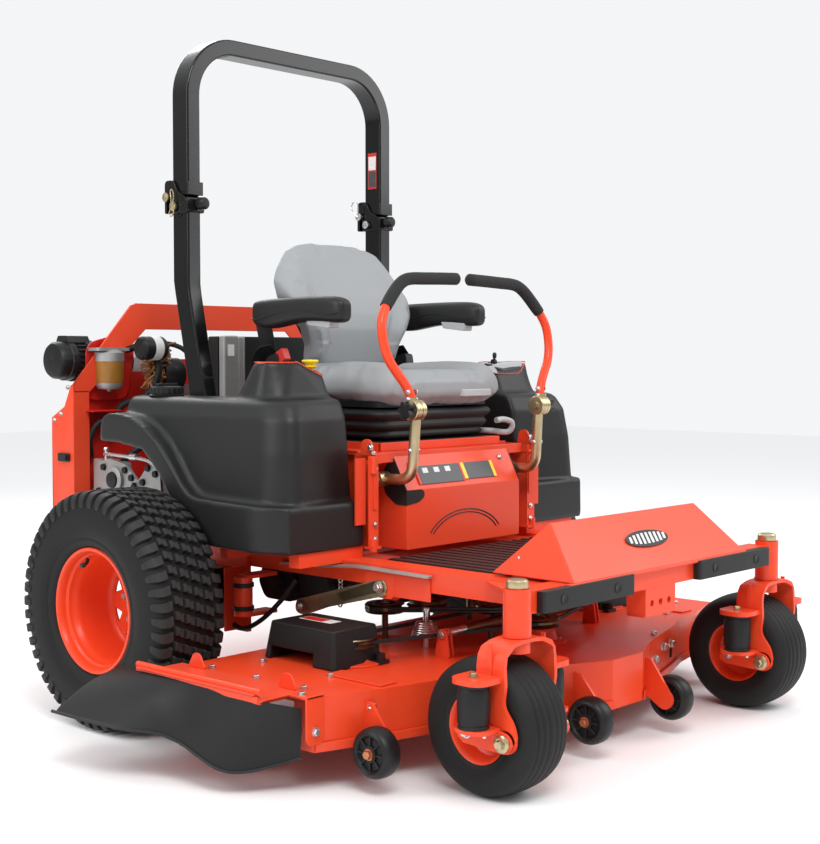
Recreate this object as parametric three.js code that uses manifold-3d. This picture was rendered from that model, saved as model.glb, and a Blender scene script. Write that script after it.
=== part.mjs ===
// Zero turn mower: a ride-on machine with a belt-driven triple-blade deck hung under its frame.
// Millimetres, +Z up. Everything is laid out about the machine's centreline with y = 0 at the
// rear axle, z = 0 on the ground and the front towards -Y, so the driver's right is -X.
// The last lines move the whole machine so that its origin is the bottom centre of its box.
import * as THREE from "three";
import { mergeVertices } from "three/addons/utils/BufferGeometryUtils.js";
import Module from "manifold-3d";

const wasm = await Module();
wasm.setup();

// ---- driving dimensions -------------------------------------------------------------------
const GAP = 0.3;                     // air left between pieces that touch or are bolted together
const RIGHT = -1;                    // the driver's right is -X
const LEFT = 1;
const SIDES = [[RIGHT, "right"], [LEFT, "left"]];

const REAR_TYRE = { radius: 328, inner: 693, outer: 916, bead: 168 };      // on a 12 inch rim
const CASTER = { x: 579, y: -1209, trail: 60, radius: 165, width: 164, bead: 78 };  // 13 x 6.5-6
const CASTER_PIVOT = { y: -1254, z: 156 };                                 // fork arm hinge
const RAIL = { inner: 364, outer: 440, bottom: 415, top: 470, front: -1200, rear: 655 };
const CROSSBAR = { half: 556, front: -1225, rear: -1165, bottom: 425, top: 477 };
const ROPS = { inner: 389, outer: 438, front: 155, depth: 73, top: 1985, bar: 50, corner: 185 };
const ROPS_HINGE = { y: 240, z: 1497 };
const DECK = { top: 228, bottom: 98, skin: 5 };
const BLADE = { radius: 280, z: 112, thick: 6, width: 64 };
const SPINDLES = [["right", -545, -638], ["middle", 0, -820], ["left", 545, -638]];
const PULLEY = { radius: 40, flange: 45, z: 284, height: 20 };
const LEVER_PIVOT = { x: 280, y: -490, z: 678 };
const LEVER_CLAMP = { x: 274, y: -615, z: 872 };
const SEAT_HINGE = { y: -45, z: 945 };

// ---- solids: primitives, joins and cuts ---------------------------------------------------
function toSolid(geometry) {
  const bare = geometry.clone();
  bare.deleteAttribute("normal");
  bare.deleteAttribute("uv");
  const merged = mergeVertices(bare, 1e-4);
  const mesh = new wasm.Mesh({
    numProp: 3,
    vertProperties: new Float32Array(merged.attributes.position.array),
    triVerts: new Uint32Array(merged.index.array),
  });
  return new wasm.Manifold(mesh);
}

function toGeometry(solid) {
  const mesh = solid.getMesh();
  const geometry = new THREE.BufferGeometry();
  geometry.setAttribute("position", new THREE.BufferAttribute(mesh.vertProperties, 3));
  geometry.setIndex(new THREE.BufferAttribute(mesh.triVerts, 1));
  geometry.computeVertexNormals();
  return geometry;
}

function join(...geometries) {
  return toGeometry(geometries.map(toSolid).reduce((whole, next) => whole.add(next)));
}

function cut(body, ...tools) {
  return toGeometry(tools.map(toSolid).reduce((whole, next) => whole.subtract(next), toSolid(body)));
}

function block(x0, x1, y0, y1, z0, z1) {
  const box = new THREE.BoxGeometry(Math.abs(x1 - x0), Math.abs(y1 - y0), Math.abs(z1 - z0));
  return box.translate((x0 + x1) / 2, (y0 + y1) / 2, (z0 + z1) / 2);
}

// A pair of mirrored blocks, one each side of the centreline, given for the +X side.
function blocks(x0, x1, y0, y1, z0, z1) {
  return [block(x0, x1, y0, y1, z0, z1), block(-x1, -x0, y0, y1, z0, z1)];
}

function outline(points) {
  return new THREE.Shape(points.map(([u, v]) => new THREE.Vector2(u, v)));
}

// A flat outline pushed along one axis. Outlines are (y, z) along X, (x, z) along Y, (x, y) along Z.
function prism(axis, points, from, to) {
  const low = Math.min(from, to);
  const depth = Math.abs(to - from);
  const solid = new THREE.ExtrudeGeometry(outline(points), { depth, bevelEnabled: false });
  if (axis === "x") solid.rotateY(Math.PI / 2).rotateX(Math.PI / 2).translate(low, 0, 0);
  if (axis === "y") solid.rotateX(Math.PI / 2).translate(0, low + depth, 0);
  if (axis === "z") solid.translate(0, 0, low);
  return solid;
}

// A profile of [radius, distance along] turned about an axis through the centre.
function turned(axis, profile, centre, segments = 20) {
  const points = profile.map(([radius, along]) => new THREE.Vector2(Math.max(radius, 0), along));
  const solid = new THREE.LatheGeometry(points, segments);
  if (axis === "x") solid.rotateZ(-Math.PI / 2);
  if (axis === "z") solid.rotateX(Math.PI / 2);
  solid.translate(...centre);
  return outward(solid);
}

function cylinder(axis, radius, from, to, centre, segments = 14) {
  const solid = new THREE.CylinderGeometry(radius, radius, Math.abs(to - from), segments);
  const middle = (from + to) / 2;
  if (axis === "x") return solid.rotateZ(Math.PI / 2).translate(middle, centre[0], centre[1]);
  if (axis === "z") return solid.rotateX(Math.PI / 2).translate(centre[0], centre[1], middle);
  return solid.translate(centre[0], middle, centre[1]);
}

// A ring: a closed rectangular profile turned about an axis.
function ring(axis, inner, outer, from, to, centre, segments = 16) {
  const profile = [[inner, from], [outer, from], [outer, to], [inner, to], [inner, from]];
  return turned(axis, profile, centre, segments);
}

// Turns a closed surface the right way out.
function outward(geometry) {
  if (signedVolume(geometry) < 0) flip(geometry);
  return geometry;
}

function signedVolume(geometry) {
  const position = geometry.attributes.position;
  const index = geometry.index;
  const count = index ? index.count : position.count;
  const corners = [new THREE.Vector3(), new THREE.Vector3(), new THREE.Vector3()];
  let total = 0;
  for (let i = 0; i < count; i += 3) {
    corners.forEach((corner, k) => corner.fromBufferAttribute(position, index ? index.getX(i + k) : i + k));
    total += corners[0].dot(corners[1].clone().cross(corners[2])) / 6;
  }
  return total;
}

function flip(geometry) {
  const order = geometry.index.array;
  for (let i = 0; i < order.length; i += 3) {
    [order[i + 1], order[i + 2]] = [order[i + 2], order[i + 1]];
  }
}

// A round bar or tube swept along straight runs with rounded bends.
function bar(points, radius, bend = 40, steps = 14, sides = 5) {
  const path = new THREE.CurvePath();
  const knots = points.map((p) => new THREE.Vector3(...p));
  let start = knots[0];
  for (let i = 1; i < knots.length - 1; i += 1) {
    const before = knots[i].clone().sub(knots[i - 1]);
    const after = knots[i + 1].clone().sub(knots[i]);
    const reach = Math.min(bend, before.length() / 2, after.length() / 2);
    const enter = knots[i].clone().addScaledVector(before.normalize(), -reach);
    const leave = knots[i].clone().addScaledVector(after.normalize(), reach);
    path.add(new THREE.LineCurve3(start, enter));
    path.add(new THREE.QuadraticBezierCurve3(enter, knots[i], leave));
    start = leave;
  }
  path.add(new THREE.LineCurve3(start, knots[knots.length - 1]));
  const round = new THREE.Shape().absarc(0, 0, radius, 0, Math.PI * 2);
  const swept = { steps, extrudePath: path, curveSegments: sides, bevelEnabled: false };
  return outward(indexed(new THREE.ExtrudeGeometry(round, swept)));
}

function indexed(geometry) {
  const bare = geometry.clone();
  bare.deleteAttribute("normal");
  bare.deleteAttribute("uv");
  return mergeVertices(bare, 1e-4);
}

// ---- materials ----------------------------------------------------------------------------
function surface(color, roughness, metalness = 0) {
  return new THREE.MeshStandardMaterial({ color, roughness, metalness });
}

const orangePaint = () => surface(0xd8431c, 0.35);
const blackPaint = () => surface(0x1d1e1f, 0.4);
const blackPlastic = () => surface(0x222324, 0.7);
const rubber = () => surface(0x1b1b1b, 0.85);
const zinc = () => surface(0xc9b98a, 0.35, 0.9);
const bronze = () => surface(0x6b5a45, 0.45, 0.8);
const silver = () => surface(0xa9abad, 0.4, 0.9);
const greyVinyl = () => surface(0xa7a9ab, 0.6);

// ---- the machine --------------------------------------------------------------------------
const group = new THREE.Group();
group.name = "zero_turn_mower";

function place(name, geometry, material) {
  const mesh = new THREE.Mesh(geometry, material);
  mesh.name = name;
  group.add(mesh);
}

// ---- frame --------------------------------------------------------------------------------
function frame() {
  const { inner, outer, bottom, top, front, rear } = RAIL;
  const bore = CASTER_TUBE.bore;
  const tubes = SIDES.map(([side]) =>
    ring("z", bore, CASTER_TUBE.radius, CASTER_TUBE.bottom, CASTER_TUBE.top, [side * CASTER.x, CASTER.y, 0]));
  const parts = [
    ...blocks(inner, outer, front, rear, bottom, top),
    block(-CROSSBAR.half, CROSSBAR.half, CROSSBAR.front, CROSSBAR.rear, CROSSBAR.bottom, CROSSBAR.top),
    ...tubes,
    block(-inner - 4, inner + 4, -1168, -440, 452, 460),
    block(-inner - 4, inner + 4, -440, -400, 415, 465),
    block(-inner - 4, inner + 4, -140, -100, 415, 465),
    block(-inner - 4, inner + 4, 250, 655, 455, 465),
    ...blocks(300, 312, -440, -20, 460, 752),
    ...blocks(300, inner + 4, -440, -400, 452, 465),
    ...blocks(300, inner + 4, -140, -100, 452, 465),
    block(-326, 326, -440, -10, 748, 756),
    ...blocks(outer - 4, 452, -120, 120, 225, 470),
    ...blocks(inner, 600, -500, -460, 462, 499.7),
    ...blocks(outer - 4, 600, -210, -180, 462, 499.7),
    ...SIDES.map(([side]) => liftBracket(side)),
    hitch(),
  ];
  const whole = join(...parts);
  return cut(whole, ...rockshaftHoles(), ...axleHoles());
}

const CASTER_TUBE = { radius: 32, bore: 16.6, bottom: 379, top: 487 };
const LIFT = { y: -646, z: 405, radius: 14 };

// Plates hung from the rails that carry the deck's lift shaft.
function liftBracket(side) {
  const outlinePoints = [[-700, 460], [-700, 400], [-670, 375], [-622, 375], [-592, 400], [-592, 460]];
  return prism("x", outlinePoints, side * 404, side * 412);
}

function rockshaftHoles() {
  return [cylinder("x", LIFT.radius + 1, -460, 460, [LIFT.y, LIFT.z])];
}

function axleHoles() {
  return SIDES.map(([side]) => cylinder("x", 46, side * 430, side * 460, [0, 330]));
}

// The towing plate under the front crossbar: a channel with three holes in its face.
function hitch() {
  const face = block(-70, 70, CROSSBAR.front + 2, CROSSBAR.front + 12, 352, 430);
  const cheeks = blocks(60, 70, CROSSBAR.front + 2, CROSSBAR.rear, 352, 430);
  const holes = [-40, 0, 40].map((x) => cylinder("y", 9, -1240, -1200, [x, 385]));
  return cut(join(face, ...cheeks), ...holes);
}

function bumperPad(side) {
  const pad = block(side * 154, side * 528, -1247, CROSSBAR.front - GAP, 425, 475);
  return pad;
}

function footMat() {
  const base = block(-350, 350, -975, -564, 460 + GAP, 466);
  const ribs = [];
  for (let x = -330; x <= 330; x += 60) ribs.push(block(x - 9, x + 9, -962, -576, 465, 470));
  return join(base, ...ribs);
}

// The raised toe board in front of the foot mat.
function footrest() {
  const section = [[-1240, 478], [-1232, 486], [-1121, 607], [-1109, 607], [-984, 489], [-978, 478]];
  const body = prism("x", section, -396, 396);
  const hollow = prism("x", [[-1222, 470], [-1115, 597], [-992, 470]], -390, 390);
  const slopes = SIDES.map(([side]) =>
    prism("y", [[side * 398, 477], [side * 420, 477], [side * 420, 620], [side * 331, 620]], -1300, -900));
  return cut(body, hollow, ...slopes);
}

// ---- wheels -------------------------------------------------------------------------------
function rearTyre(side) {
  const { radius, inner, outer, bead } = REAR_TYRE;
  const profile = [
    [bead, outer - 24], [bead + 26, outer - 4], [240, outer], [316, outer - 4], [radius - 3, outer - 26],
    [radius, outer - 70], [radius, inner + 70], [radius - 3, inner + 26], [316, inner + 4], [240, inner],
    [bead + 26, inner + 4], [bead, inner + 24], [bead, outer - 24],
  ];
  return turned("x", profile.map(([r, x]) => [r, side * x]), [0, 0, 330], 24);
}

function rearRim(side) {
  const { inner, outer, bead } = REAR_TYRE;
  const seat = bead - GAP;
  const profile = [
    [0, 748], [118, 748], [156, outer - 22], [seat, outer - 24], [seat, outer - 32], [156, outer - 44],
    [150, inner + 48], [seat, inner + 32], [seat, inner + 24], [146, inner + 24], [118, 738], [0, 738],
  ];
  const dish = turned("x", profile.map(([r, x]) => [r, side * x]), [0, 0, 330], 24);
  const hub = cylinder("x", 52, side * 662, side * 764, [0, 330]);
  return join(dish, hub);
}

function wheelMotor(side) {
  const body = cylinder("x", 62, side * (452 + GAP), side * 600, [0, 330]);
  const neck = cylinder("x", 44, side * 420, side * (662 - GAP), [0, 330]);
  const valve = block(side * 462, side * 540, -70, 70, 375, 412);
  return join(body, neck, valve);
}

function casterYoke(side) {
  const x = side * CASTER.x;
  const kingpin = cylinder("z", 16, 360, 492, [x, CASTER.y]);
  const cap = cylinder("z", 26, 487 + GAP, 507, [x, CASTER.y]);
  const crown = block(x - 100, x + 100, CASTER.y - 40, CASTER.y + 40, 345, 372);
  const legSection = [
    [CASTER.y - 40, 372], [CASTER.y + 42, 372], [CASTER.y + 42, 330], [CASTER.y - 8, 260],
    [CASTER_PIVOT.y + 22, 140], [CASTER_PIVOT.y - 20, 140], [CASTER_PIVOT.y - 20, 250],
  ];
  const legs = [-1, 1].map((hand) => prism("x", legSection, x + hand * 92, x + hand * 100));
  const ears = [-1, 1].map((hand) =>
    block(x + hand * 99, x + hand * 178, CASTER.y - 24, CASTER.y + 52, 290, 300));
  return cut(
    join(kingpin, cap, crown, ...legs, ...ears),
    cylinder("x", 9.7, x - 130, x + 130, [CASTER_PIVOT.y, CASTER_PIVOT.z]),
  );
}

// Two swing arms joined by the hinge bolt at their front and the wheel's axle at their rear.
function casterArm(side) {
  const x = side * CASTER.x;
  const axleY = CASTER.y + CASTER.trail;
  const armSection = [
    [CASTER_PIVOT.y - 20, 140], [CASTER_PIVOT.y - 20, 172], [CASTER_PIVOT.y + 10, 182],
    [axleY + 26, 184], [axleY + 26, 142], [axleY, 136], [CASTER_PIVOT.y, 136],
  ];
  const arms = [-1, 1].map((hand) => prism("x", armSection, x + hand * (100 + GAP), x + hand * 109));
  const bolts = [-1, 1].map((hand) =>
    cylinder("x", 9, x + hand * (84), x + hand * 116, [CASTER_PIVOT.y, CASTER_PIVOT.z]));
  const axle = cylinder("x", 10, x - 116, x + 116, [axleY, CASTER.radius]);
  const perches = [-1, 1].map((hand) =>
    block(x + hand * 108, x + hand * 175, CASTER.y - 24, CASTER.y + 52, 176, 186));
  return join(...arms, ...bolts, axle, ...perches);
}

// The rubber spring on the outer side; the inner ear and perch carry its twin.
function casterDamper(side) {
  const centre = [side * (CASTER.x + 139), CASTER.y + 14];
  return cylinder("z", 35, 186 + GAP, 281, centre, 24);
}

function casterTyre(side) {
  const x = side * CASTER.x;
  const half = CASTER.width / 2;
  const { radius, bead } = CASTER;
  const profile = [
    [bead, -half + 24], [bead + 14, -half + 6], [120, -half], [148, -half + 8], [161, -half + 30],
    [radius, 0], [161, half - 30], [148, half - 8], [120, half], [bead + 14, half - 6],
    [bead, half - 24], [bead, -half + 24],
  ];
  return turned("x", profile, [x, CASTER.y + CASTER.trail, radius], 20);
}

function casterRim(side) {
  const x = side * CASTER.x;
  const half = CASTER.width / 2;
  const seat = CASTER.bead - GAP;
  const bore = 10.5;
  const profile = [
    [bore, -half + 4], [24, -half + 4], [24, -half + 34], [60, -half + 34], [seat, -half + 26],
    [seat, half - 26], [60, half - 34], [24, half - 34], [24, half - 4], [bore, half - 4],
    [bore, -half + 4],
  ];
  return turned("x", profile, [x, CASTER.y + CASTER.trail, CASTER.radius], 20);
}

// ---- roll bar -----------------------------------------------------------------------------
// The lower post leans forward to its foot on the rail and carries the hinge plates on top.
function ropsPost(side) {
  const { inner, outer, front, depth } = ROPS;
  const lean = [
    [front, 1488], [front + depth, 1488], [front + depth, 1240], [front + depth - 72, 912],
    [62, 482], [-14, 482], [front - 70, 912], [front, 1222],
  ];
  const tube = prism("x", lean, side * inner, side * outer);
  const foot = block(side * 368, side * 447, -45, 110, 470 + GAP, 484);
  const cheek = [
    [150, 1450], [150, 1486], [205, 1512], [224, 1543], [252, 1543], [252, 1450],
  ];
  const plates = [prism("x", cheek, side * (inner - 8), side * (inner - GAP)),
    prism("x", cheek, side * (outer + GAP), side * (outer + 8))];
  const back = block(side * (inner - 8), side * (outer + 8), 226, 246, 1450, 1480);
  const knob = cylinder("y", 17, 112, 150, [side * 413.5, 1474]);
  const stud = cylinder("y", 6, 148, 160, [side * 413.5, 1474]);
  const body = join(tube, foot, ...plates, back, knob, stud);
  return cut(body, cylinder("x", 8.6, side * 360, side * 470, [ROPS_HINGE.y, ROPS_HINGE.z]));
}

// The folding upper hoop, with hinge ears and the hinge pins that turn with it.
function ropsHoop() {
  const { inner, outer, front, depth, top, bar: thick, corner } = ROPS;
  const outerPath = hoopOutline(outer, top, corner, ROPS_HINGE.z + GAP);
  const innerPath = hoopOutline(inner, top - thick, corner - thick, ROPS_HINGE.z + GAP);
  const loop = prism("y", [...outerPath, ...innerPath.reverse()], front, front + depth);
  const ears = SIDES.map(([side]) =>
    prism("x", [[200, 1499], [200, 1540], [248, 1510], [250, 1499], [250, 1488], [231, 1488], [231, 1499]],
      side * (inner + 1.4), side * (outer - 1.4)));
  const pins = SIDES.map(([side]) =>
    cylinder("x", 8, side * (inner - 22), side * (outer + 22), [ROPS_HINGE.y, ROPS_HINGE.z]));
  return join(loop, ...ears, ...pins);
}

function hoopOutline(half, top, radius, foot) {
  const points = [[-half, foot]];
  const steps = 6;
  for (let i = 0; i <= steps; i += 1) {
    const angle = Math.PI - (i / steps) * (Math.PI / 2);
    points.push([-half + radius + radius * Math.cos(angle), top - radius + radius * Math.sin(angle)]);
  }
  for (let i = 0; i <= steps; i += 1) {
    const angle = Math.PI / 2 - (i / steps) * (Math.PI / 2);
    points.push([half - radius + radius * Math.cos(angle), top - radius + radius * Math.sin(angle)]);
  }
  points.push([half, foot]);
  return points;
}

// ---- body work ----------------------------------------------------------------------------
// A side pod: fuel tank and wing in one moulding, with a wheel arch and a raised console.
function pod(side) {
  const flange = [
    [-512, 500], [-160, 512], [-83, 608], [-21, 688], [56, 752], [174, 769], [282, 773],
    [250, 846], [194, 858], [90, 836], [-2, 790], [-112, 684], [-190, 632], [-508, 628],
  ];
  const upper = [
    [-468, 620], [-190, 620], [-112, 676], [-2, 780], [90, 828], [194, 850], [248, 846], [236, 880],
    [190, 902], [-388, 902], [-432, 820],
  ];
  const tank = [[-510, 500], [-150, 512], [-70, 612], [-70, 800], [-440, 800], [-466, 625], [-508, 625]];
  const console_ = [
    [-388, 895], [-380, 945], [-366, 962], [-300, 985], [-225, 999], [-190, 975], [-20, 895],
  ];
  const slantedCorner = prism("z", [[side * 600, -262], [side * 600, 10], [side * 380, 10]], 903, 1010);
  const body = join(
    prism("x", flange, side * 366, side * 684),
    prism("x", upper, side * 366, side * 650),
    prism("x", tank, side * 366, side * 585),
    cut(prism("x", console_, side * 376, side * 590), slantedCorner),
  );
  const ropsRelief = block(side * 300, side * 450, -150, 400, 400, 1100);
  return cut(body, ropsRelief);
}

function fuelCap(side) {
  const centre = [side * 548, 120];
  return join(
    cylinder("z", 46, 902 + GAP, 930, centre, 20),
    block(side * 516, side * 580, 112, 128, 928, 940),
  );
}

// The sheet cover below the seat, with an open back and notches for the lever tubes.
function controlTower() {
  const section = [[-560, 482], [-560, 646], [-504, 752], [-446, 752], [-446, 740], [-496, 740], [-550, 640], [-550, 482]];
  const centre = prism("x", section, -250, 250);
  const wingSection = [[-522, 716], [-504, 752], [-446, 752], [-446, 740], [-496, 740], [-510, 712]];
  const wings = prism("x", wingSection, -324, 324);
  const cheeks = SIDES.map(([side]) =>
    prism("x", [[-560, 482], [-560, 646], [-504, 752], [-446, 752], [-446, 482]], side * 244, side * 250));
  return join(centre, wings, ...cheeks, block(-250, 250, -560, -446, 462, 484));
}

// ---- steering levers ----------------------------------------------------------------------
function steeringLever(side) {
  const x = side * LEVER_PIVOT.x;
  const tube = bar([
    [x, LEVER_PIVOT.y, 678], [side * 275, -602, 682], [side * 275, -608, 760], [side * 275, -614, 838],
  ], 15, 34);
  const lug = block(side * 258, side * 272, -632, -598, 822, 872);
  const hub = cylinder("x", 20, side * 260, side * 300, [LEVER_PIVOT.y, LEVER_PIVOT.z]);
  const disc = cylinder("x", 26, side * 260, side * 273, [LEVER_CLAMP.y, LEVER_CLAMP.z]);
  return join(tube, hub, lug, disc);
}

function leverGrip(side) {
  const at = (x, y, z) => [side * x, y, z];
  const tube = bar([
    at(287, -612, 890), at(288, -606, 924), at(368, -583, 1050), at(362, -570, 1112),
    at(268, -553, 1232), at(24, -548, 1240),
  ], 13, 48, 18);
  const disc = cylinder("x", 26, side * (273 + GAP), side * 300, [LEVER_CLAMP.y, LEVER_CLAMP.z]);
  const knob = cylinder("x", 19, side * 299, side * 322, [LEVER_CLAMP.y, LEVER_CLAMP.z]);
  return join(tube, disc, knob);
}

// ---- seat ---------------------------------------------------------------------------------
function seatBase() {
  const foot = block(-215, 215, -420, -40, 756 + GAP, 786);
  const bellows = block(-190, 190, -400, -60, 784, 850);
  const top = block(-235, 235, -440, -20, 848, 872);
  return join(foot, bellows, top);
}

function seatCushion() {
  const plan = roundedOutline(-283, 283, -482, 10, 70, 5);
  const body = prism("z", plan, 886, 975);
  const pan = block(-230, 230, -430, -20, 872 + GAP, 888);
  const thighs = SIDES.map(([side]) => prism("y", [[side * 200, 970], [side * 268, 970], [side * 262, 992], [side * 222, 990]], -430, -150));
  const hingeRoom = block(-300, 300, SEAT_HINGE.y - 92, 60, 918, 1100);
  return join(cut(body, hingeRoom), pan, ...thighs.map((t) => cut(t, hingeRoom)));
}

function roundedOutline(x0, x1, y0, y1, radius, steps) {
  const corners = [[x1 - radius, y1 - radius, 0], [x0 + radius, y1 - radius, 90],
    [x0 + radius, y0 + radius, 180], [x1 - radius, y0 + radius, 270]];
  const points = [];
  corners.forEach(([cx, cy, start]) => {
    for (let i = 0; i <= steps; i += 1) {
      const angle = ((start + (90 * i) / steps) * Math.PI) / 180;
      points.push([cx + radius * Math.cos(angle), cy + radius * Math.sin(angle)]);
    }
  });
  return points;
}

function seatBack() {
  const front = [
    [-190, 930], [-236, 990], [-228, 1050], [-258, 1120], [-262, 1180], [-240, 1262], [-215, 1310],
    [-170, 1352], [-90, 1374], [0, 1378], [90, 1374], [170, 1352], [215, 1310], [240, 1262],
    [262, 1180], [258, 1120], [228, 1050], [236, 990], [190, 930],
  ];
  const side = [[-72, 928], [-110, 1000], [-125, 1100], [-118, 1180], [-72, 1280], [-30, 1382], [26, 1384],
    [15, 1300], [0, 1200], [-6, 1100], [-2, 928]];
  const face = toSolid(prism("y", front, -140, 120));
  const depth = toSolid(prism("x", side, -300, 300));
  return toGeometry(face.intersect(depth));
}

function armrest(side) {
  const section = [
    [-375, 1140], [-366, 1172], [-330, 1180], [-120, 1176], [-20, 1184], [8, 1168], [8, 1122],
    [-30, 1112], [-120, 1128], [-330, 1122], [-366, 1126],
  ];
  return prism("x", section, side * 266, side * 322);
}

// ---- engine bay ---------------------------------------------------------------------------
function engine() {
  return join(
    block(-210, 210, 360, 596, 466, 620),
    cylinder("z", 150, 600, 880, [0, 490]),
    ...blocks(100, 250, 420, 560, 640, 820),
    block(-120, 120, 345, 400, 470, 700),
  );
}

function airCleaner() {
  return join(
    cylinder("x", 62, -600, -170, [636, 1006], 20),
    cylinder("x", 68, -500, -470, [636, 1006], 20),
    bar([[-250, 636, 960], [-250, 626, 900], [-200, 606, 890]], 28, 30, 8),
  );
}

function radiator() {
  const core = block(-236, 236, 262, 306, 520, 1080);
  const feet = blocks(180, 230, 262, 306, 465 + GAP, 522);
  const neck = cylinder("z", 26, 1078, 1100, [-150, 284]);
  return join(core, ...feet, neck);
}

function rearGuard() {
  const hoop = [
    [-345, 1190], [-366, 1182], [-584, 930], [-584, 905], [-526, 905], [-306, 1106],
    [306, 1106], [526, 905], [584, 905], [584, 930], [366, 1182], [345, 1190],
  ];
  const plate = prism("y", hoop, 540, 548);
  const cheeks = SIDES.map(([side]) =>
    prism("x", [[540, 560], [540, 930], [556, 930], [610, 850], [660, 830], [660, 480], [600, 480]],
      side * 578, side * 586));
  const tail = block(-586, 586, 652, 660, 480, 800);
  const sill = block(-586, 586, 600, 660, 470 + GAP, 482);
  return join(plate, ...cheeks, tail, sill);
}

// ---- mowing deck --------------------------------------------------------------------------
const DECK_HALF = [[880, -850], [700, -905], [543, -941], [430, -985], [191, -1065], [70, -1124]];

function deckOutline(inset) {
  const rear = [[870, -345], [300, -345], [220, -520]];
  const right = [...DECK_HALF].reverse();
  const half = [...right, ...rear];
  const points = [...half, ...half.map(([x, y]) => [-x, y]).reverse()];
  return insetOutline(points, inset);
}

// Moves every edge of a closed outline inwards by the same distance.
function insetOutline(points, inset) {
  if (inset === 0) return points;
  const turn = Math.sign(THREE.ShapeUtils.area(points.map(([x, y]) => new THREE.Vector2(x, y))));
  return points.map((point, i) => {
    const before = points[(i - 1 + points.length) % points.length];
    const after = points[(i + 1) % points.length];
    const a = new THREE.Vector2(point[0] - before[0], point[1] - before[1]).normalize();
    const b = new THREE.Vector2(after[0] - point[0], after[1] - point[1]).normalize();
    const normalA = new THREE.Vector2(-a.y, a.x).multiplyScalar(turn);
    const normalB = new THREE.Vector2(-b.y, b.x).multiplyScalar(turn);
    const mid = normalA.clone().add(normalB).normalize();
    const reach = inset / Math.max(mid.dot(normalA), 0.3);
    return [point[0] + mid.x * reach, point[1] + mid.y * reach];
  });
}

const WHEELS = [
  ["outer_right", -782, -956], ["inner_right", -204, -1150], ["inner_left", 146, -1166],
  ["outer_left", 782, -956],
];
const WHEEL = { radius: 60, half: 27, z: 100 };

function deckShell() {
  const shell = prism("z", deckOutline(0), DECK.bottom, DECK.top);
  const hollow = prism("z", deckOutline(DECK.skin), DECK.bottom - 10, DECK.top - DECK.skin);
  const mouth = block(-960, -850, -780, -410, DECK.bottom - 10, 208);
  const housings = SPINDLES.map(([, x, y]) => cylinder("z", 52, DECK.top - 2, 268, [x, y]));
  const bores = SPINDLES.map(([, x, y]) => cylinder("z", 14.5, 200, 300, [x, y]));
  const hinge = join(
    block(-1002, -860, -796, -347, DECK.top - 4, DECK.top + 4),
    block(-1002, -994, -796, -347, DECK.top - 4, DECK.top + 22),
  );
  const arms = WHEELS.map(([, x, y]) => wheelArm(x, y));
  return cut(join(cut(shell, hollow, mouth), ...housings, hinge, ...arms), ...bores);
}

// How far back the deck's front wall lies at a distance from the centreline.
function frontWall(x) {
  const reach = Math.abs(x);
  const next = DECK_HALF.findIndex(([edge]) => edge <= reach);
  const [x0, y0] = DECK_HALF[next - 1];
  const [x1, y1] = DECK_HALF[next];
  return y0 + ((y1 - y0) * (x0 - reach)) / (x0 - x1);
}

// A strap from the deck's front wall to the wheel, rounded about the wheel's fixed axle.
function wheelArm(x, y) {
  const inward = x < 0 ? 1 : -1;
  const wall = frontWall(x + inward * 34);
  const eye = 27;
  const nose = [];
  for (let degrees = 130; degrees <= 300; degrees += 17) {
    const turn = THREE.MathUtils.degToRad(degrees);
    nose.push([y + eye * Math.cos(turn), WHEEL.z + eye * Math.sin(turn)]);
  }
  const strap = prism("x", [...nose, [wall + 6, 112], [wall + 6, 204], [wall - 20, 204]],
    x + inward * 30, x + inward * 38);
  const axle = cylinder("x", 9, x - inward * 30, x + inward * 32, [y, WHEEL.z]);
  return join(strap, axle);
}

function antiScalpWheel(x, y) {
  const bore = 9.5;
  const profile = [
    [bore, -WHEEL.half], [40, -WHEEL.half], [54, -WHEEL.half + 5], [WHEEL.radius, -WHEEL.half + 16],
    [WHEEL.radius, WHEEL.half - 16], [54, WHEEL.half - 5], [40, WHEEL.half], [bore, WHEEL.half],
    [bore, -WHEEL.half],
  ];
  return turned("x", profile, [x, y, WHEEL.z], 16);
}

function blade(x, y) {
  const { radius, z, thick, width } = BLADE;
  const half = width / 2;
  const plan = [
    [x - radius, y - half], [x + radius - 60, y - half], [x + radius - 6, y - 6], [x + radius, y + half],
    [x - radius + 60, y + half], [x - radius + 6, y + 6],
  ];
  const lift = (side) => block(x + side * (radius - 80), x + side * (radius - 10), y + side * (half - 5),
    y + side * half, z + thick / 2, z + 26);
  return join(prism("z", plan, z - thick / 2, z + thick / 2), lift(1), lift(-1));
}

function spindlePulley(x, y) {
  const { radius, flange, z, height } = PULLEY;
  const low = z - height / 2;
  const high = z + height / 2;
  const profile = [
    [0, BLADE.z + BLADE.thick / 2 + GAP], [30, BLADE.z + BLADE.thick / 2 + GAP], [30, 128], [14, 132],
    [14, low], [flange, low], [flange, low + 4], [radius, low + 5], [radius, high - 5],
    [flange, high - 4], [flange, high], [24, high], [24, high + 6], [0, high + 6],
  ];
  return turned("z", profile, [x, y, 0], 16);
}

// One belt round the three deck pulleys.
function deckBelt() {
  const inner = beltOutline(PULLEY.radius / Math.cos(0.11) + GAP);
  const outer = beltOutline(PULLEY.radius + 9);
  const low = PULLEY.z - 4.5;
  const high = PULLEY.z + 4.5;
  return cut(prism("z", outer, low, high), prism("z", inner, low - 5, high + 5));
}

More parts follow.
